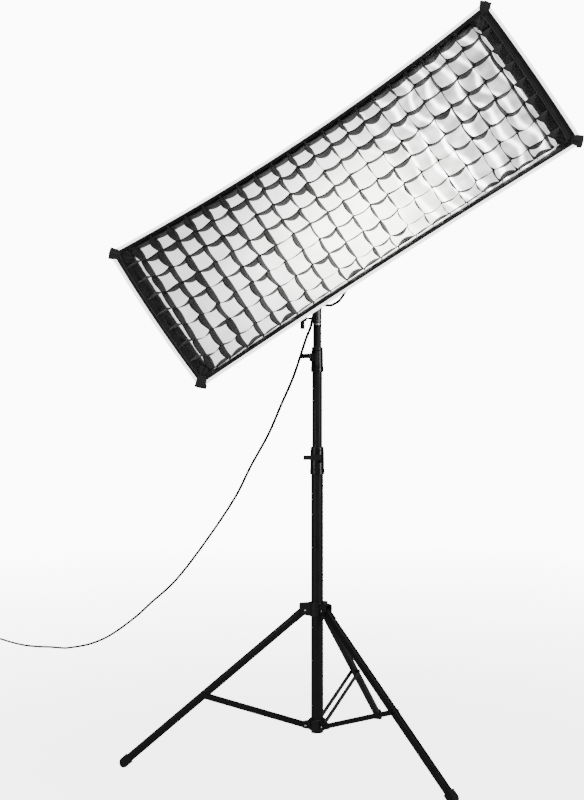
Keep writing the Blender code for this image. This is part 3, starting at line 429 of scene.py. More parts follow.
def even_loop(half_x, half_z, radius, count):
    """count points evenly round a rounded rectangle, as (x, z), from the middle of its right side."""
    straight_x = half_x - radius
    straight_z = half_z - radius
    quarter = radius * pi / 2
    total = 4 * (straight_x + straight_z + quarter)
    # each corner, and which way the side after it faces
    corners = (((1, 1), (0, 1)), ((-1, 1), (-1, 0)), ((-1, -1), (0, -1)), ((1, -1), (1, 0)))
    points = []
    for i in range(count):
        place = (total * i / count) % total
        if place < straight_z:
            points.append((half_x, place))
            continue
        place -= straight_z
        for turn, ((sx, sz), (face_x, face_z)) in enumerate(corners):
            x = sx * straight_x
            z = sz * straight_z
            if place < quarter:
                angle = turn * pi / 2 + place / radius
                points.append((x + radius * cos(angle), z + radius * sin(angle)))
                break
            place -= quarter
            run = 2 * (straight_x if face_z else straight_z)
            if place < run:
                x += face_x * radius - face_z * place
                z += face_z * radius + face_x * place
                points.append((x, z))
                break
            place -= run
    return points


def lattice(half, across, down):
    """Rows of (x, z) spread evenly over a rectangle with these half sizes."""
    xs = [half[0] * (2 * j / across - 1) for j in range(across + 1)]
    return [[(x, half[1] * (2 * i / down - 1)) for x in xs] for i in range(down + 1)]


def hashed(a, b, c):
    """A steady number from -1 to 1 that varies smoothly with all three."""
    place = Vector((a * 1.713 + 0.37, b * 2.391 + 0.71, c * 3.117 + 0.53))
    return max(-1.0, min(1.0, noise.noise(place * 1.7) * 1.9))


def within(value):
    """value, held between 0 and 1."""
    return max(0.0, min(1.0, value))


def eased(share):
    """share, held between 0 and 1, with a soft start and end."""
    share = within(share)
    return share * share * (3 - 2 * share)


def bow(x, z):
    """How far the cloth at (x, z) is drawn towards the lower rim."""
    share = within((z + HALF_SHORT) / (2 * HALF_SHORT))
    return (LOWER_BOW + (TOP_BOW - LOWER_BOW) * share) * max(0.0, 1 - (x / HALF_LONG) ** 2)


def settled(x, y, z):
    """A point of the cloth, drawn in along its long rims and standing out at its short ones."""
    side = 1 if x > 0 else -1
    ends = abs(x / HALF_LONG) ** 6
    out = side * (END_REACH[side] + END_BOW[side] * max(0.0, 1 - (z / HALF_SHORT) ** 2)) * ends
    share = (x / HALF_LONG + 1) / 2
    upper, lower = RIM_SPREAD
    spread = upper if z > 0 else lower
    grow = (spread[0] + (spread[1] - spread[0]) * share) * abs(z / HALF_SHORT)
    return Vector((x + out - SKEW * ends * z / HALF_SHORT, y, z + grow - bow(x, z)))


def link_cad(name, look):
    """Gives a CAD node a better material."""
    piece = NODES[name]
    for slot in piece.material_slots:
        slot.material = look.material


# -------- mains lead


def lead_route():
    """The route, relative to the stand's axis, as in part.py."""
    route = [
        (0.0935, 0.1986, 1.5315),
        (0.0955, 0.2260, 1.5300),
        (0.0975, 0.2530, 1.5120),
        (0.0985, 0.2640, 1.4750),
        (0.0975, 0.2500, 1.4300),
        (0.0945, 0.2130, 1.3900),
        (0.0885, 0.1560, 1.3560),
        (0.0686, 0.1000, 1.3215),
        (0.0500, 0.0700, 1.3070),
        (0.0382, 0.0540, 1.3020),
        (0.0149, 0.0330, 1.3015),
        (0.0010, 0.0245, 1.2950),
        (-0.0090, 0.0190, 1.2780),
        (-0.0145, 0.0175, 1.2560),
        (-0.0200, 0.0240, 1.2330),
        (-0.0323, 0.0556, 1.2030),
        (-0.0670, 0.1164, 1.0990),
        (-0.1051, 0.1834, 1.0120),
        (-0.1442, 0.2520, 0.9230),
        (-0.1996, 0.3493, 0.8230),
        (-0.2556, 0.4475, 0.7140),
        (-0.3586, 0.6282, 0.5590),
        (-0.4720, 0.8272, 0.4080),
        (-0.5789, 1.0149, 0.3000),
        (-0.6532, 1.1452, 0.2260),
        (-0.7680, 1.3468, 0.1290),
        (-0.8725, 1.5301, 0.0640),
        (-0.9840, 1.7265, 0.0150),
        (-1.0240, 1.7830, ON_FLOOR),
        (-1.0700, 1.8030, ON_FLOOR),
        (-1.1250, 1.8130, ON_FLOOR),
        (-1.1840, 1.8430, ON_FLOOR),
        (-1.2510, 1.9100, ON_FLOOR),
        (-1.3240, 2.0040, ON_FLOOR),
        (-1.3660, 2.0460, ON_FLOOR),
    ]
    return [STAND + Vector(place) for place in route]


def coil_line(start):
    """The turns of the coil, from where the lead comes in to where it leaves for the plug."""
    line = []
    centre = STAND + COIL_PLACE
    begin = atan2(start.y - centre.y, start.x - centre.x)
    steps = 40
    pitch = 2 * LEAD_R
    layer_height = 0.88 * pitch
    crossover = 0.45  # the share of a turn in which the lead moves over to its next track
    # each turn's place outwards, in diameters, and its layer; the last stops where it heads for the plug
    tracks = [(1, 0), (0, 0), (-1, 0), (-0.5, 1), (0.5, 1), (1, 2), (0, 2)]
    turns = COIL_TURNS - 1 + (pi - begin) % tau / tau
    count = round(turns * steps)
    entry = (start - centre).to_2d().length
    for i in range(count + 1):
        turn = turns * i / count
        index = min(int(turn), COIL_TURNS - 1)
        change = eased((turn - index) / crossover)
        place, layer = tracks[index]
        reach = COIL_R + pitch * place
        if index:
            place_before, layer_before = tracks[index - 1]
            reach += pitch * (place_before - place) * (1 - change)
            layer += (layer_before - layer) * (1 - change)
        else:
            reach = entry + (reach - entry) * change
        angle = begin + tau * turn
        x = centre.x + reach * cos(angle)
        y = centre.y + reach * sin(angle)
        line.append(Vector((x, y, ON_FLOOR + layer * layer_height)))
    return line


def cord_piece(name, path, look):
    """A round cord along the path."""
    tube = Patches(rings_along(path, LEAD_R, 14), closed=True, capped=True)
    return tube.build(name, Matrix(), look, None, "cable")


def length_of(path):
    return sum((b - a).length for a, b in zip(path, path[1:]))


def make_leads(looks):
    route = lead_route()
    rubber = looks["rubber"]
    # each piece's name and node, its first and last point, and the bodies it runs between and two points on its
    # route
    pieces = (
        ("mains_lead_to_lamp", "lead_to_lamp", 0, 9, "lamp", "bracket", 0, 9),
        ("mains_lead_at_socket", "lead_at_socket", 9, 14, "bracket", "top_column", 13, 14),
        ("mains_lead_upper", "lead_upper", 14, 20, "top_column", "middle_column", 15, 20),
        ("mains_lead_lower", "lead_lower", 20, 34, "middle_column", "stand_base", 20, 27),
    )
    for name, node, first, last, body_a, body_b, start, end in pieces:
        coiled = node == "lead_lower"
        before = route[first - 1] if first else None
        after = route[last + 1] if last + 1 < len(route) else None
        if coiled:
            spoke = route[last] - STAND - COIL_PLACE
            after = route[last - 1] + Vector((-spoke.y, spoke.x, 0)).normalized() * 0.12
        line = smooth_line(route[first : last + 1], 0.009, before, after)
        if coiled:
            line += coil_line(line[-1])[1:]
            line += tail_to_plug(line)
        piece = cord_piece(name, line, looks["cable"])
        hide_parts(node, *(["lead_coil"] if coiled else []))
        if node == "lead_to_lamp":
            tapered_sleeve("lamp_strain_relief", line[:5], "lamp", 0.0072, rubber)
        if coiled:
            ending = line[:-11:-1]
            tapered_sleeve("plug_strain_relief", ending, "stand_base", 0.0066, rubber)
        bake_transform(piece)


def tail_to_plug(line):
    """From the last turn down to the plug's boot, which lies beside the coil."""
    low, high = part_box("mains_plug")
    boot = Vector(((low[0] + high[0]) / 2, high[1], 0.0120))
    away = Vector((0, 1, 0))
    a = line[-1]
    swing = (boot - a).length * 0.45
    b = a + (a - line[-2]).normalized() * swing
    c = boot + away * swing
    d = boot - away * 0.004
    points = []
    for i in range(1, 15):
        t = i / 14
        near = a * (1 - t) ** 3 + b * (3 * t * (1 - t) ** 2)
        points.append(near + c * (3 * t * t * (1 - t)) + d * t**3)
    return points


# -------- straps, strain reliefs and rivets


def outline_round(circles, steps=28):
    """The taut loop round these circles of (x, y, radius), as points."""
    dots = []
    for x, y, radius in circles:
        dots.extend((x + radius * c, y + radius * s) for c, s in circle(steps))
    dots.sort()
    loop = []
    for run in (dots, dots[::-1]):
        half = []
        for dot in run:
            while len(half) > 1:
                (ax, ay), (bx, by) = half[-2], half[-1]
                if (bx - ax) * (dot[1] - ay) - (by - ay) * (dot[0] - ax) > 0:
                    break
                half.pop()
            half.append(dot)
        loop.extend(half[:-1])
    return loop


def strap(name, circles, matrix, height, body, look):
    """A band of hook-and-loop tape drawn tight round the given circles, its edges slightly curled."""
    loop = outline_round(circles)
    rows = []
    for share in (-1, -0.7, 0, 0.7, 1):
        curl = 1 + 0.018 * share * share
        rows.append([Vector((x * curl, y * curl, height / 2 * share)) for x, y in loop])
    return Patches(rows, closed=True).build(name, matrix, look, body, "black_cloth", 0.0014, 1.0)


def make_straps(looks):
    """The tape that holds the lead to the socket, and the one round the coil."""
    socket_r = 0.0129
    place = lead_route()[11] - STAND
    circles = ((0, 0, socket_r), (place.x, place.y, LEAD_R + 0.0004))
    level = Matrix.Translation(STAND + Vector((0, 0, place.z)))
    strap("socket_strap", circles, level, 0.014, "bracket", looks["webbing"])
    # the corners of the coil where it is cut across: two at the floor and the outer one at the top
    circles = ((-0.0080, -0.0045, 0.0052), (0.0080, -0.0045, 0.0052), (-0.0080, 0.0063, 0.0044))
    around = STAND + COIL_PLACE + Vector((0, -COIL_R, 0.0120))
    upright = placed(around, Vector((0, 1, 0)), UP, Vector((1, 0, 0)))
    strap("coil_strap", circles, upright, 0.016, "stand_base", looks["webbing"])


def tapered_sleeve(name, path, body, wide, look):
    """A ribbed strain relief that tapers along the lead, from wide to a little more than the lead."""
    length = length_of(path)
    narrow = LEAD_R + 0.0006
    rib_height = 0.0005
    rib_pitch = 0.0042

    def reach(share):
        rib = rib_height * (0.5 + 0.5 * cos(tau * share * length / rib_pitch)) * (1 - share)
        return narrow + (wide - narrow) * (1 - share) ** 1.2 + rib

    sleeve = Patches(rings_along(path, reach, 20), closed=True, capped=True)
    return sleeve.build(name, Matrix(), look, body, "rubber")


def dome(sheet, centre, along, radius, height):
    """A rivet's domed head, flat on its underside."""
    side = along.orthogonal().normalized()
    other = along.cross(side)
    rows = []
    for r, h in ((1.0, -0.35), (1.0, 0.15), (0.88, 0.55), (0.62, 0.86), (0.30, 0.99), (0.02, 1.0)):
        spokes = [(side * c + other * s) * radius * r for c, s in circle(16)]
        rows.append([centre + spoke + along * height * h for spoke in spokes])
    sheet.add(rows, closed=True, capped=True)


def make_rivets(looks):
    """Bright rivet heads on the ends of the hub's and the spreader's pins."""
    # each piece's joints and body, how far out the heads sit, and how high they are
    rows = (
        ("hub_rivets", "leg", "leg_hub", 0.0150, 0.0014),
        ("spreader_rivets", "brace", "stand_base", 0.0153, 0.0012),
    )
    radius = 0.0031
    for piece, joint, body, out, height in rows:
        heads = Patches()
        for name in ("left", "right", "back"):
            across = axis_of(f"leg_{name}_fold")
            for along in (across, -across):
                dome(heads, joint_at(f"{joint}_{name}_fold") + along * out, along, radius, height)
        heads.build(piece, Matrix(), looks["steel"], body, "steel")


def make_screens(looks):
    """The pleated dust screens inside the lamp's vents."""
    low, high = (Vector(corner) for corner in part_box("rear_housing"))
    radius = (high.z - low.z) / 2 - 0.0052
    width = radians(62)
    length = 0.079
    pleat = 0.0007
    front = -0.041
    place = placed((low + high) / 2, HEAD_X, BOX_Y, HEAD_X.cross(BOX_Y))
    arc = []
    for k in range(49):
        a = width * (k / 48 - 0.5)
        r = radius - pleat * (k % 2)
        arc.append((r * cos(a), r * sin(a)))
    for name, side in (("left", -1), ("right", 1)):
        screen = Patches([[Vector((side * x, front + length * i / 8, z)) for x, z in arc] for i in range(9)])
        screen.build(f"vent_screen_{name}", place, looks["webbing"], "lamp", "black_cloth", 0.0006)


# -------- softbox cloth


def corner_path(t):
    end = Vector((HALF_LONG - 0.0068, -DEPTH + 0.004, HALF_SHORT - 0.0068))
    return ROD_FROM * (1 - t) ** 2 + ROD_BEND * (2 * t * (1 - t)) + end * t * t


def section(t):
    """The cone at share t from neck to rim: its half sizes, its corners' radius and its depth."""
    radius = 0.040 * (1 - t) ** 2 + 0.008
    outwards = 0.0044 + 0.3 * radius
    corner = corner_path(t) + Vector((outwards, 0.0010 + 0.0055 * (1 - t), outwards))
    return max(corner.x, NECK_HALF), max(corner.z, NECK_HALF), radius, corner.y


def shell_row(t, count=200):
    """The cone's outline at share t from neck to rim, its panels drawn in between the rods."""
    half_x, half_z, radius, depth = section(t)
    if t == 0:
        half_x = half_z = NECK_HALF
        radius = 0.058
        depth = NECK_Y
    if t == 1:
        depth = -DEPTH
    row = []
    pull = sin(pi * min(1, t * 1.02)) ** 0.8
    for x, z in even_loop(half_x, half_z, radius, count):
        on_long = abs(z) > half_z - radius * 1.01
        along = x / half_x if on_long else z / half_z
        sag = pull * (1 - along**2) * (0.013 if on_long else 0.005)
        crease = 0.0016 * pull * hashed(x * 9, z * 14 + 5, t * 6)
        if on_long:
            z -= copysign(sag + crease, z)
        else:
            x -= copysign(sag + crease, x)
        point = Vector((x, depth, z))
        row.append(point.lerp(settled(x, depth, z), t**3))
    return row


def make_shell(looks):
    shell = Patches([shell_row(i / 30) for i in range(31)], closed=True)
    piece = shell.sew("softbox_fabric", looks["black_cloth"], FABRIC, 1.0, looks["lining"])
    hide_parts("fabric_shell")
    return piece


def mouth_points(grow, y, count=260, radius=0.014):
    """The rim's outline grown by this much, bowed like the rim."""
    return [settled(x, y, z) for x, z in even_loop(HALF_LONG + grow, HALF_SHORT + grow, radius, count)]


def make_rim(looks):
    """The white binding round the mouth and the black hem inside it."""
    path = mouth_points(0.0048, -DEPTH + 0.0010)
    white = Patches(rings_along(path, 0.0048, 10, (0.36, 1.0), UP, True), closed=True, looped=True)
    # the binding is drawn with a painted glow, so that it looks brightly lit
    white.sew("rim_binding", looks["white_tape"], slot="diffuser_cloth")
    path = mouth_points(-0.0012, -DEPTH - 0.0004)
    hem = Patches(rings_along(path, 0.0017, 8, closed=True), closed=True, looped=True)
    hem.sew("rim_hem", looks["black_cloth"])


def make_lip(looks):
    """The black band from the rim back to the diffuser's edge, slack and wavy on its inner side."""
    front = Vector((HALF_LONG - 0.0030, -DEPTH + 0.0005, HALF_SHORT - 0.0030))
    back = Vector((LIP_BACK[0], LIP_BACK_Y, LIP_BACK[1]))
    rows = []
    steps = 9
    for i in range(steps + 1):
        share = i / steps
        half_x, y, half_z = front.lerp(back, share)
        row = []
        for x, z in even_loop(half_x, half_z, 0.020, 320):
            wave = 0.0032 * sin(pi * share) * hashed(x * 15, z * 15, share * 1.5)
            wave += 0.0022 * share * hashed(x * 26, z * 26, 4)
            inwards = Vector((-x / half_x if abs(z) < half_z - 0.02 else 0, 0, -z / half_z)).normalized()
            row.append(settled(x, y, z) + inwards * abs(wave))
        rows.append(row)
    piece = Patches(rows, closed=True).sew("mouth_lip", looks["black_cloth"], 0.0010)
    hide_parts("mouth_band")


def right_share(x):
    """How far x is into the diffuser's pleated right part, from 0 to 1."""
    return within((x - 0.06) / 0.26)


def fold_height(x, z):
    """The height and the shade of the diffuser's pleats, deep in its right part, and faint wrinkles."""
    amount = eased(right_share(x))
    drift = 0.018 * hashed(x * 2.5, z * 3.5, 2)
    lean = x + 0.16 * z
    pleat = sin(tau * (lean + drift) / 0.056)
    ridge = max(0.0, -pleat) ** 3
    cross = hashed(x * 9 + 0.8 * z, z * 12, 5)
    soft = hashed(x * 5, z * 3, 7)
    return amount * pleat * 0.0034 + 0.0010 * soft, amount * (0.8 - 2.1 * ridge + 0.45 * cross)


def make_diffuser(looks):
    rows = []
    shades = []
    for places in lattice(DIFFUSER_HALF, 220, 64):
        row = []
        tone = []
        for x, z in places:
            height, pleat = fold_height(x, z)
            edge = min(1.0, 6 * min(1 - abs(x) / DIFFUSER_HALF[0], 1 - abs(z) / DIFFUSER_HALF[1]))
            row.append(settled(x, DIFFUSER_Y + max(0.0, height) * edge, z))
            glow = exp(-(((x - 0.02) / 0.34) ** 2) - ((z + 0.08) / 0.21) ** 2)
            light = 0.46 + 1.9 * glow + 0.36 * right_share(x)
            light *= exp(-0.85 * max(-1.0, min(1.4, pleat)))
            light *= 1 - 0.22 * max(0.0, x / DIFFUSER_HALF[0]) ** 3
            light *= 1 + 0.10 * hashed(x * 8, z * 6, 8)
            tone.append((light, glow, 0.0))
        rows.append(row)
        shades.append(tone)
    sheet = Patches(rows, shade=lambda i, j: shades[i][j])
    piece = sheet.sew("front_diffuser_cloth", looks["diffuser"], 0.0008, 1.0, slot="diffuser_cloth")
    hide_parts("front_diffuser")


def make_baffle(looks):
    rows = []
    for places in lattice(BAFFLE_HALF, 70, 26):
        rows.append([Vector((x, BAFFLE_Y + 0.002 * hashed(x * 6, z * 6, 5), z)) for x, z in places])
    sheet = Patches(rows, shade=lambda i, j: (1.0, 0.5, 0.0))
    piece = sheet.sew("inner_baffle_cloth", looks["baffle"], 0.0008, slot="diffuser_cloth")
    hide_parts("inner_baffle")


def flared(point, d):
    """The point moved for its depth d, front (0) to back (1): the grid opens to its front and leans."""
    share = 0.5 - d
    point.x += share * (0.00645 * point.x / GRID_HALF[0] - 0.00305)
    point.z += share * (0.00395 * point.z / GRID_HALF[1] - 0.00065)
    return point


def strip_rows(start, end, normal, keys, front, back, steps=10, peak=1.0):
    """A length of strip between two crossings, from front edge to back, sagging by front and back."""
    pull = copysign(1, DOWN_IN_BOX.dot(normal))
    rows = []
    for d in (0, 0.25, 0.5, 0.75, 1):
        row = []
        for i in range(steps + 1):
            s = i / steps
            belly = sin(pi * s**peak) ** 0.85 if 0 < s < 1 else 0.0
            ripple = 0.0012 * sin(tau * s) * hashed(*keys, 9) * (1 - d)
            place = start.lerp(end, s)
            y = GRID_FRONT + (GRID_BACK - GRID_FRONT) * d
            y += 0.0030 * sin(pi * s) * (1 - d) * (0.6 + 0.4 * hashed(*keys, 12))
            sag = belly * (front * (1 - d) + back * d) * pull + ripple
            row.append(flared(Vector((place.x, y, place.z)), d) + normal * sag)
        rows.append(row)
    return rows


def make_grid(looks):
    """The egg-crate of crossed cloth strips, each length slack between its crossings."""
    across, down = GRID_CELLS
    xs = [GRID_HALF[0] * (2 * i / across - 1) for i in range(across + 1)]

    def crossing(i, j):
        share = i / across
        z = (j - down / 2) * (GRID_PITCH[0] + (GRID_PITCH[1] - GRID_PITCH[0]) * share)
        z = max(-GRID_HALF[1], min(GRID_HALF[1], z))
        inside = (1 - (xs[i] / GRID_HALF[0]) ** 2) * (1 - (z / GRID_HALF[1]) ** 2)
        place = Vector((xs[i] + 0.0026 * hashed(i, j, 1) * inside, 0, z - bow(xs[i], z)))
        place.z += 0.0026 * hashed(i, j, 2) * inside
        return place

    sheet = Patches()
    for i in range(across + 1):
        for j in range(down):
            front = 0.0080 + 0.0035 * hashed(i, j, 3)
            back = 0.0010 + 0.0040 * hashed(i, j, 4)
            if i in (0, across):
                front, back = 0.4 * front, -0.9 * back
            if j == down - 1:
                front, back = 0.0075 + 0.3 * front, -0.0040
            rows = strip_rows(
                crossing(i, j + 1), crossing(i, j), Vector((1, 0, 0)), (i, j), front, back, peak=0.75
            )
            sheet.add(rows)
    for j in range(down + 1):
        for i in range(across):
            front = 0.0050 + 0.0035 * hashed(i, j, 5)
            back = 0.0085 + 0.0070 * hashed(i, j, 6)
            if j == 0:
                front, back = 0.0010, -0.0070 - 0.0065 * hashed(i, 3, 6)
            if j == down:
                front, back = 0.0020, 0.0055 + 0.0035 * hashed(i, 4, 6)
            rows = strip_rows(crossing(i, j), crossing(i + 1, j), Vector((0, 0, 1)), (i, j), front, back)
            sheet.add(rows)
    piece = sheet.sew("grid_cloth", looks["grid_cloth"], STRIP)
    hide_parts("egg_crate_grid")
    make_ears(looks, crossing, across, down)


def ear(sheet, near, tip, fold):
    """A strip's end beyond the outermost crossing: drawn out to a tip, its deep edge folded aside."""
    rows = []
    for d in (0, 0.24, 0.48, 0.72, 0.95):
        row = []
        for k in range(9):
            s = k / 8
            point = near.lerp(tip, s).lerp(fold, d)
            point.y -= 0.0042 * sin(pi * s) * (1 - d) - 0.0030 * sin(pi * d)
            row.append(point)
        rows.append(row)
    sheet.add(rows)


def make_ears(looks, crossing, across, down):
    """The strips' ends: wide folded triangles at the short ends, short spikes along the long rims."""
    sheet = Patches()
    folds = {-1: Vector((-0.019, 0.016, 0.0145)), 1: Vector((0.016, 0.012, -0.0215))}
    for side, i in ((-1, 0), (1, across)):
        for j in range(1, down):
            near = crossing(i, j)
            near.y = GRID_FRONT + 0.0010
            tip = settled(side * (HALF_LONG - HEM_INSET[side]), -DEPTH + 0.0015, near.z)
            tip.z = near.z + 0.0025 * hashed(i, j, 8) + (0.005 if side < 0 else 0.001)
            fold = near + folds[side] * (1 + 0.18 * hashed(i, j, 7))
            ear(sheet, near, tip, fold)
    for side, j in ((-1, 0), (1, down)):
        for i in range(1, across):
            near = crossing(i, j)
            near.y = GRID_FRONT + 0.0010
            tip = near + Vector((0.0020 * hashed(i, j, 8) - 0.002, 0, side * 0.0085))
            tip.y = -DEPTH + 0.0025
            fold = near + Vector((-0.010 if side > 0 else 0.005, 0.010, side * 0.002))
            ear(sheet, near, tip, fold)
    # the ears are drawn in the lighter copy of the grid cloth, painted as if lit
    piece = sheet.sew("grid_ears", looks["painted_lit_ear_cloth"], 0.0009)
    make_hems(looks)


def make_hems(looks):
    """The turned hem inside each short rim, which the ears are sewn to, and the cloth out to the rim."""
    cord = Patches()
    band = Patches()
    for side in (-1, 1):
        inset = HEM_INSET[side]
        reach = HALF_SHORT - 0.014
        line = []
        rows = [[], [], [], []]
        for k in range(61):
            z = reach * (k / 30 - 1)
            ends = max(0.0, abs(z) / reach - 0.8) * 5
            x = side * (HALF_LONG - inset - 0.004 * ends * ends)
            wave = 0.0009 * hashed(z * 21, side, 3)
            line.append(settled(x, -DEPTH + 0.0012 + wave, z))
            for row, share in zip(rows, (0, 0.33, 0.66, 1)):
                depth = -DEPTH + 0.0022 + wave + 0.0022 * sin(pi * share)
                row.append(settled(x + side * (inset - 0.002) * share, depth, z))
        cord.add(rings_along(line, 0.0013, 8, up=Vector((0, -1, 0))), closed=True, capped=True)
        band.add(rows)
    # the hems are drawn in the lighter copy of the grid cloth, painted as if lit
    cord.sew("end_hems", looks["painted_lit_ear_cloth"])
    band.sew("end_bands", looks["black_cloth"], 0.0008)


def corner_frame(sx, sz):
    """The directions out of a corner of the mouth and across it."""
    return Vector((sx, 0, sz)).normalized(), Vector((sz, 0, -sx)).normalized()


def make_corners(looks):
    """Each corner's rod pocket: a folded webbing tab over the rim, and a bunched flap inside it."""
    for name, (sx, sz) in CORNERS.items():
        outwards, across = corner_frame(sx, sz)
        corner = settled(sx * HALF_LONG, 0, sz * HALF_SHORT)
        # how far out each row of the tab lies, its depth and its half width
        profile = (
            (-0.0190, -0.2185, 0.0090),
            (-0.0120, -0.2232, 0.0125),
            (-0.0020, -0.2252, 0.0145),
            (0.0070, -0.2258, 0.0150),
            (0.0115, -0.2245, 0.0158),
            (0.0130, -0.2190, 0.0162),
            (0.0122, -0.2120, 0.0155),
            (0.0070, -0.2030, 0.0140),
            (0.0015, -0.1950, 0.0130),
        )
        rows = []
        for out, y, half in profile:
            row = []
            for k in range(11):
                w = k / 5 - 1
                crease = 0.0014 * hashed(out * 60, k * 0.7 + sx * 3, sz * 2)
                curl = -0.0028 * w * w + 0.0016 * abs(w) ** 5
                point = corner + outwards * (out + crease * 0.7 + curl) + across * (half * w)
                point.y = y + crease + 0.0026 * w * w - 0.0014 * cos(2.4 * pi * w)
                row.append(point)
            rows.append(row)
        piece = Patches(rows).sew(f"corner_tab_{name}", looks["webbing"], 0.0016, level=1)
        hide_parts(f"corner_pocket_{name}")
        make_flap(looks, name, sx, sz)


def make_flap(looks, name, sx, sz):
    """The bunched cloth where the grid is tied into a corner."""
    outwards, across = corner_frame(sx, sz)
    corner = settled(sx * (HALF_LONG - 0.018), 0, sz * (HALF_SHORT - 0.016))
    reach = 0.040 if name == "a" else 0.032
    rows = []
    for i in range(17):
        s = i / 16
        width = 0.006 + 0.013 * sin(pi * min(1, s * 1.1)) ** 0.8
        row = []
        for k in range(17):
            w = k / 8 - 1
            fold = 0.0034 * sin(7.5 * w + 3 * s + sx) * (1 - 0.5 * s)
            crumple = 0.0030 * hashed(s * 7 + sx, w * 3.0 + sz * 3, 2)
            point = corner - outwards * (reach * s - 0.004) + across * (width * w)
            point.y = -0.2140 + 0.008 * s - 0.004 * (1 - w * w) * sin(pi * s) + fold + crumple
            point += outwards * 0.0030 * hashed(s * 6, w * 3 + 8, sz)
            row.append(point)
        rows.append(row)
    # flap a gets the lighter copy of the cloth, painted as if lit, and the other flaps a darker copy
    look = looks["painted_lit_ear_cloth"] if name == "a" else looks["dark_flap"]
    piece = Patches(rows).sew(f"corner_flap_{name}", look, 0.0010, level=1)


def make_neck(looks):
    """The elastic collar that closes the cone behind the speed ring, and its gathered hem."""
    rows = []
    for i in range(7):
        s = i / 6
        row = []
        half = NECK_HALF + 0.0015 - 0.003 * s
        for x, z in even_loop(half, half, 0.058, 160):
            gather = 0.0010 * sin(atan2(z, x) * 38) * s
            reach = 1 + gather / NECK_HALF
            row.append(Vector((x * reach, -0.012 + 0.0135 * s, z * reach)))
        rows.append(row)
    Patches(rows, closed=True).sew("neck_collar", looks["webbing"], 0.0014)


def make_seams(looks):
    """A felled seam with its stitches along each rod."""
    seams = Patches()
    threads = Patches()
    for sx, sz in CORNERS.values():
        line = []
        for i in range(41):
            half_x, half_z, radius, y = section(0.04 + 0.93 * i / 40)
            inset = radius * (1 - sqrt(0.5)) - 0.0004
            line.append(Vector((sx * (half_x - inset), y, sz * (half_z - inset))))
        up = Vector((sx, 0, sz)).normalized()
        seams.add(rings_along(line, 0.0032, 8, (1.0, 0.35), up), closed=True, capped=True)
        dense = smooth_line(line, 0.0045)
        for a, b in zip(dense, dense[1:]):
            middle = (a + b) / 2 + up * 0.0012
            along = (b - a) * 0.33
            stitch = [middle - along, middle, middle + along]
            threads.add(rings_along(stitch, 0.0004, 5, up=up), closed=True, capped=True)
    seams.sew("fabric_seams", looks["black_cloth"])
    threads.sew("fabric_stitches", looks["thread"])


# -------- light and floor


def seen_and_lighting(tree, seen, lighting):
    """A strength that is one number for what the camera sees and another for the light it gives."""
    rays = tree.nodes.new("ShaderNodeLightPath")
    strength = tree.nodes.new("ShaderNodeMapRange")
    tree.links.new(rays.outputs["Is Camera Ray"], strength.inputs[0])
    for index, value in ((3, lighting), (4, seen)):
        if isinstance(value, (int, float)):
            strength.inputs[index].default_value = value
        else:
            tree.links.new(value, strength.inputs[index])
    return strength.outputs[0]


def make_studio():
    """A pale floor that brightens into a white background, and soft light from large panels."""
    size = 40
    mesh = bpy.data.meshes.new("floor")
    corners = [(-size, -size, 0), (size, -size, 0), (size, size, 0), (-size, size, 0)]
    mesh.from_pydata(corners, [], [(0, 1, 2, 3)])
    floor = put_in_scene("floor", mesh)
    look = Look("floor_paint", (0.50, 0.50, 0.50), 0.85)
    look.shader.inputs["Emission Color"].default_value = (1, 1, 1, 1)
    away = look.node("ShaderNodeVectorMath", operation="LENGTH")
    look.link(look.coordinates, away.inputs[0])
    glow = look.ramp(away.outputs["Value"], 4.6, BACKGROUND, 0.8, 6.0)
    look.link(seen_and_lighting(look.tree, glow, 0.0), look.shader.inputs["Emission Strength"])
    mesh.materials.append(look.material)

    world = bpy.data.worlds.new("studio")
    world.use_nodes = True
    sky = world.node_tree.nodes["Background"]
    sky.inputs["Color"].default_value = (1.0, 1.0, 1.0, 1)
    strength = seen_and_lighting(world.node_tree, BACKGROUND, 0.07)
    world.node_tree.links.new(strength, sky.inputs["Strength"])
    bpy.context.scene.world = world

    lights = (
        ("key_left", (-3.0, -2.6, 1.7), (0.5, 2.6), 40),
        ("key_right", (3.0, -2.2, 1.8), (0.3, 2.6), 55),
        ("front_fill", (0.4, -5.6, 2.6), (3.0, 1.6), 60),
        ("overhead", (0.0, -0.2, 4.4), (3.2, 3.2), 60),
    )
    for name, place, (width, height), watts in lights:
        data = bpy.data.lights.new(name, "AREA")
        data.shape = "RECTANGLE"
        data.size, data.size_y = width, height
        data.energy = watts
        lamp = put_in_scene(name, data)
        lamp.location = place
        aim = Vector((0, 0, 1.0)) - Vector(place)
        lamp.rotation_euler = aim.to_track_quat("-Z", "Y").to_euler()


# -------- all of it


def grey(level, blue=0.0005):
    """A grey with this much more blue in it."""
    return (level, level, level + blue)


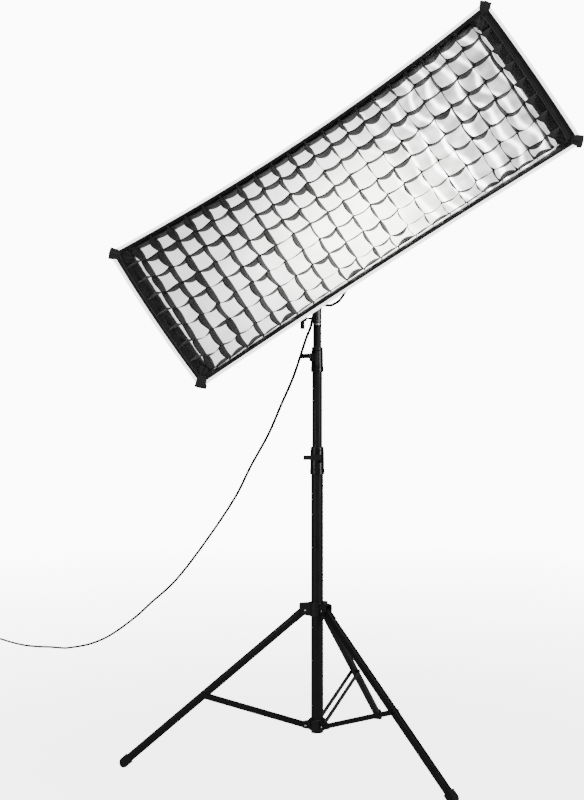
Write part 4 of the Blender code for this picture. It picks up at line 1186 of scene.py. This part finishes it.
def make_looks():
    return {
        "black_paint": paint("black_powder_coat", grey(0.0055), 0.36),
        "collar_paint": paint("black_gloss_cast", grey(0.006), 0.26, 0.00002, 0.35),
        "black_cast": paint("black_cast_paint", grey(0.006), 0.38, 0.00010, 0.15),
        "black_plastic": moulded("black_moulded_plastic", grey(0.006), 0.44),
        "housing": moulded("charcoal_housing", grey(0.030, 0.003), 0.48, 1100),
        "rubber": moulded("black_rubber", grey(0.008), 0.74, 700),
        "cable": moulded("cable_sheath", grey(0.007), 0.55, 500),
        "steel": bare_metal("plated_steel", grey(0.66, 0.01), 0.24),
        "grey_alloy": bare_metal("anodised_alloy", (0.16, 0.162, 0.17), 0.38),
        "reflector": bare_metal("polished_reflector", grey(0.80, 0), 0.20),
        "led_yellow": moulded("phosphor_yellow", (0.80, 0.60, 0.10), 0.45, 1500),
        "black_cloth": cloth("black_nylon", grey(0.0045), 0.0007, 0.76, 0.06, grey(0.014, 0.001)),
        "grid_cloth": cloth("grid_nylon", grey(0.006), 0.0008, 0.8, 0.05, grey(0.014, 0.001)),
        # the ears, the end hems and corner flap a get a lighter copy of the black grid nylon, painted as if lit;
        # corner flaps b, c and d get a darker copy
        "painted_lit_ear_cloth": cloth("grid_ear_nylon_painted_lit", grey(0.034, 0.002), 0.0008, 0.74, 0.3, grey(0.060, 0.003)),
        "dark_flap": cloth("corner_flap_nylon", grey(0.012), 0.0008, 0.74, 0.2, grey(0.026, 0.002)),
        "webbing": cloth("black_webbing", grey(0.010), 0.0016, 0.75, 0.2, grey(0.026, 0.002), 0.0005),
        # the white binding tape has a painted glow, so that it looks brightly lit
        "white_tape": painted_glow(
            cloth("white_binding_tape", grey(0.86, 0.04), 0.0012, 0.6, 0.2, grey(0.76, 0.06)), 2.6
        ),
        "thread": cloth("black_thread", grey(0.05, 0.003), 0.0004, 0.6, 0.2, grey(0.08, 0.005)),
        "lining": bare_metal("silver_lining", grey(0.75, 0.01), 0.35, (1, 1, 1)),
        "diffuser": diffuser_look("diffusion_cloth", 3.0, (1.0, 0.985, 0.94), (0.975, 0.98, 0.985)),
        "baffle": diffuser_look("baffle_cloth", 0.8, (1.0, 0.97, 0.90), (1.0, 0.98, 0.95)),
    }


def dress_nodes(looks):
    """Gives each CAD node the look that is named after its material slot."""
    for part in frame["record"]["subparts"]:
        slot = part["material_slot"]
        look = looks.get("diffuser" if slot == "diffuser_cloth" else slot)
        if look:
            link_cad(part["node"], look)
    for name in ("lower_collar", "upper_collar", "leg_hub", "spreader_hub"):
        link_cad(name, looks["collar_paint"])


def main():
    make_camera()
    looks = make_looks()
    make_leads(looks)
    make_straps(looks)
    make_rivets(looks)
    make_screens(looks)
    dress_nodes(looks)
    make_shell(looks)
    make_rim(looks)
    make_lip(looks)
    make_diffuser(looks)
    make_baffle(looks)
    make_grid(looks)
    make_corners(looks)
    make_neck(looks)
    make_seams(looks)
    make_studio()


main()
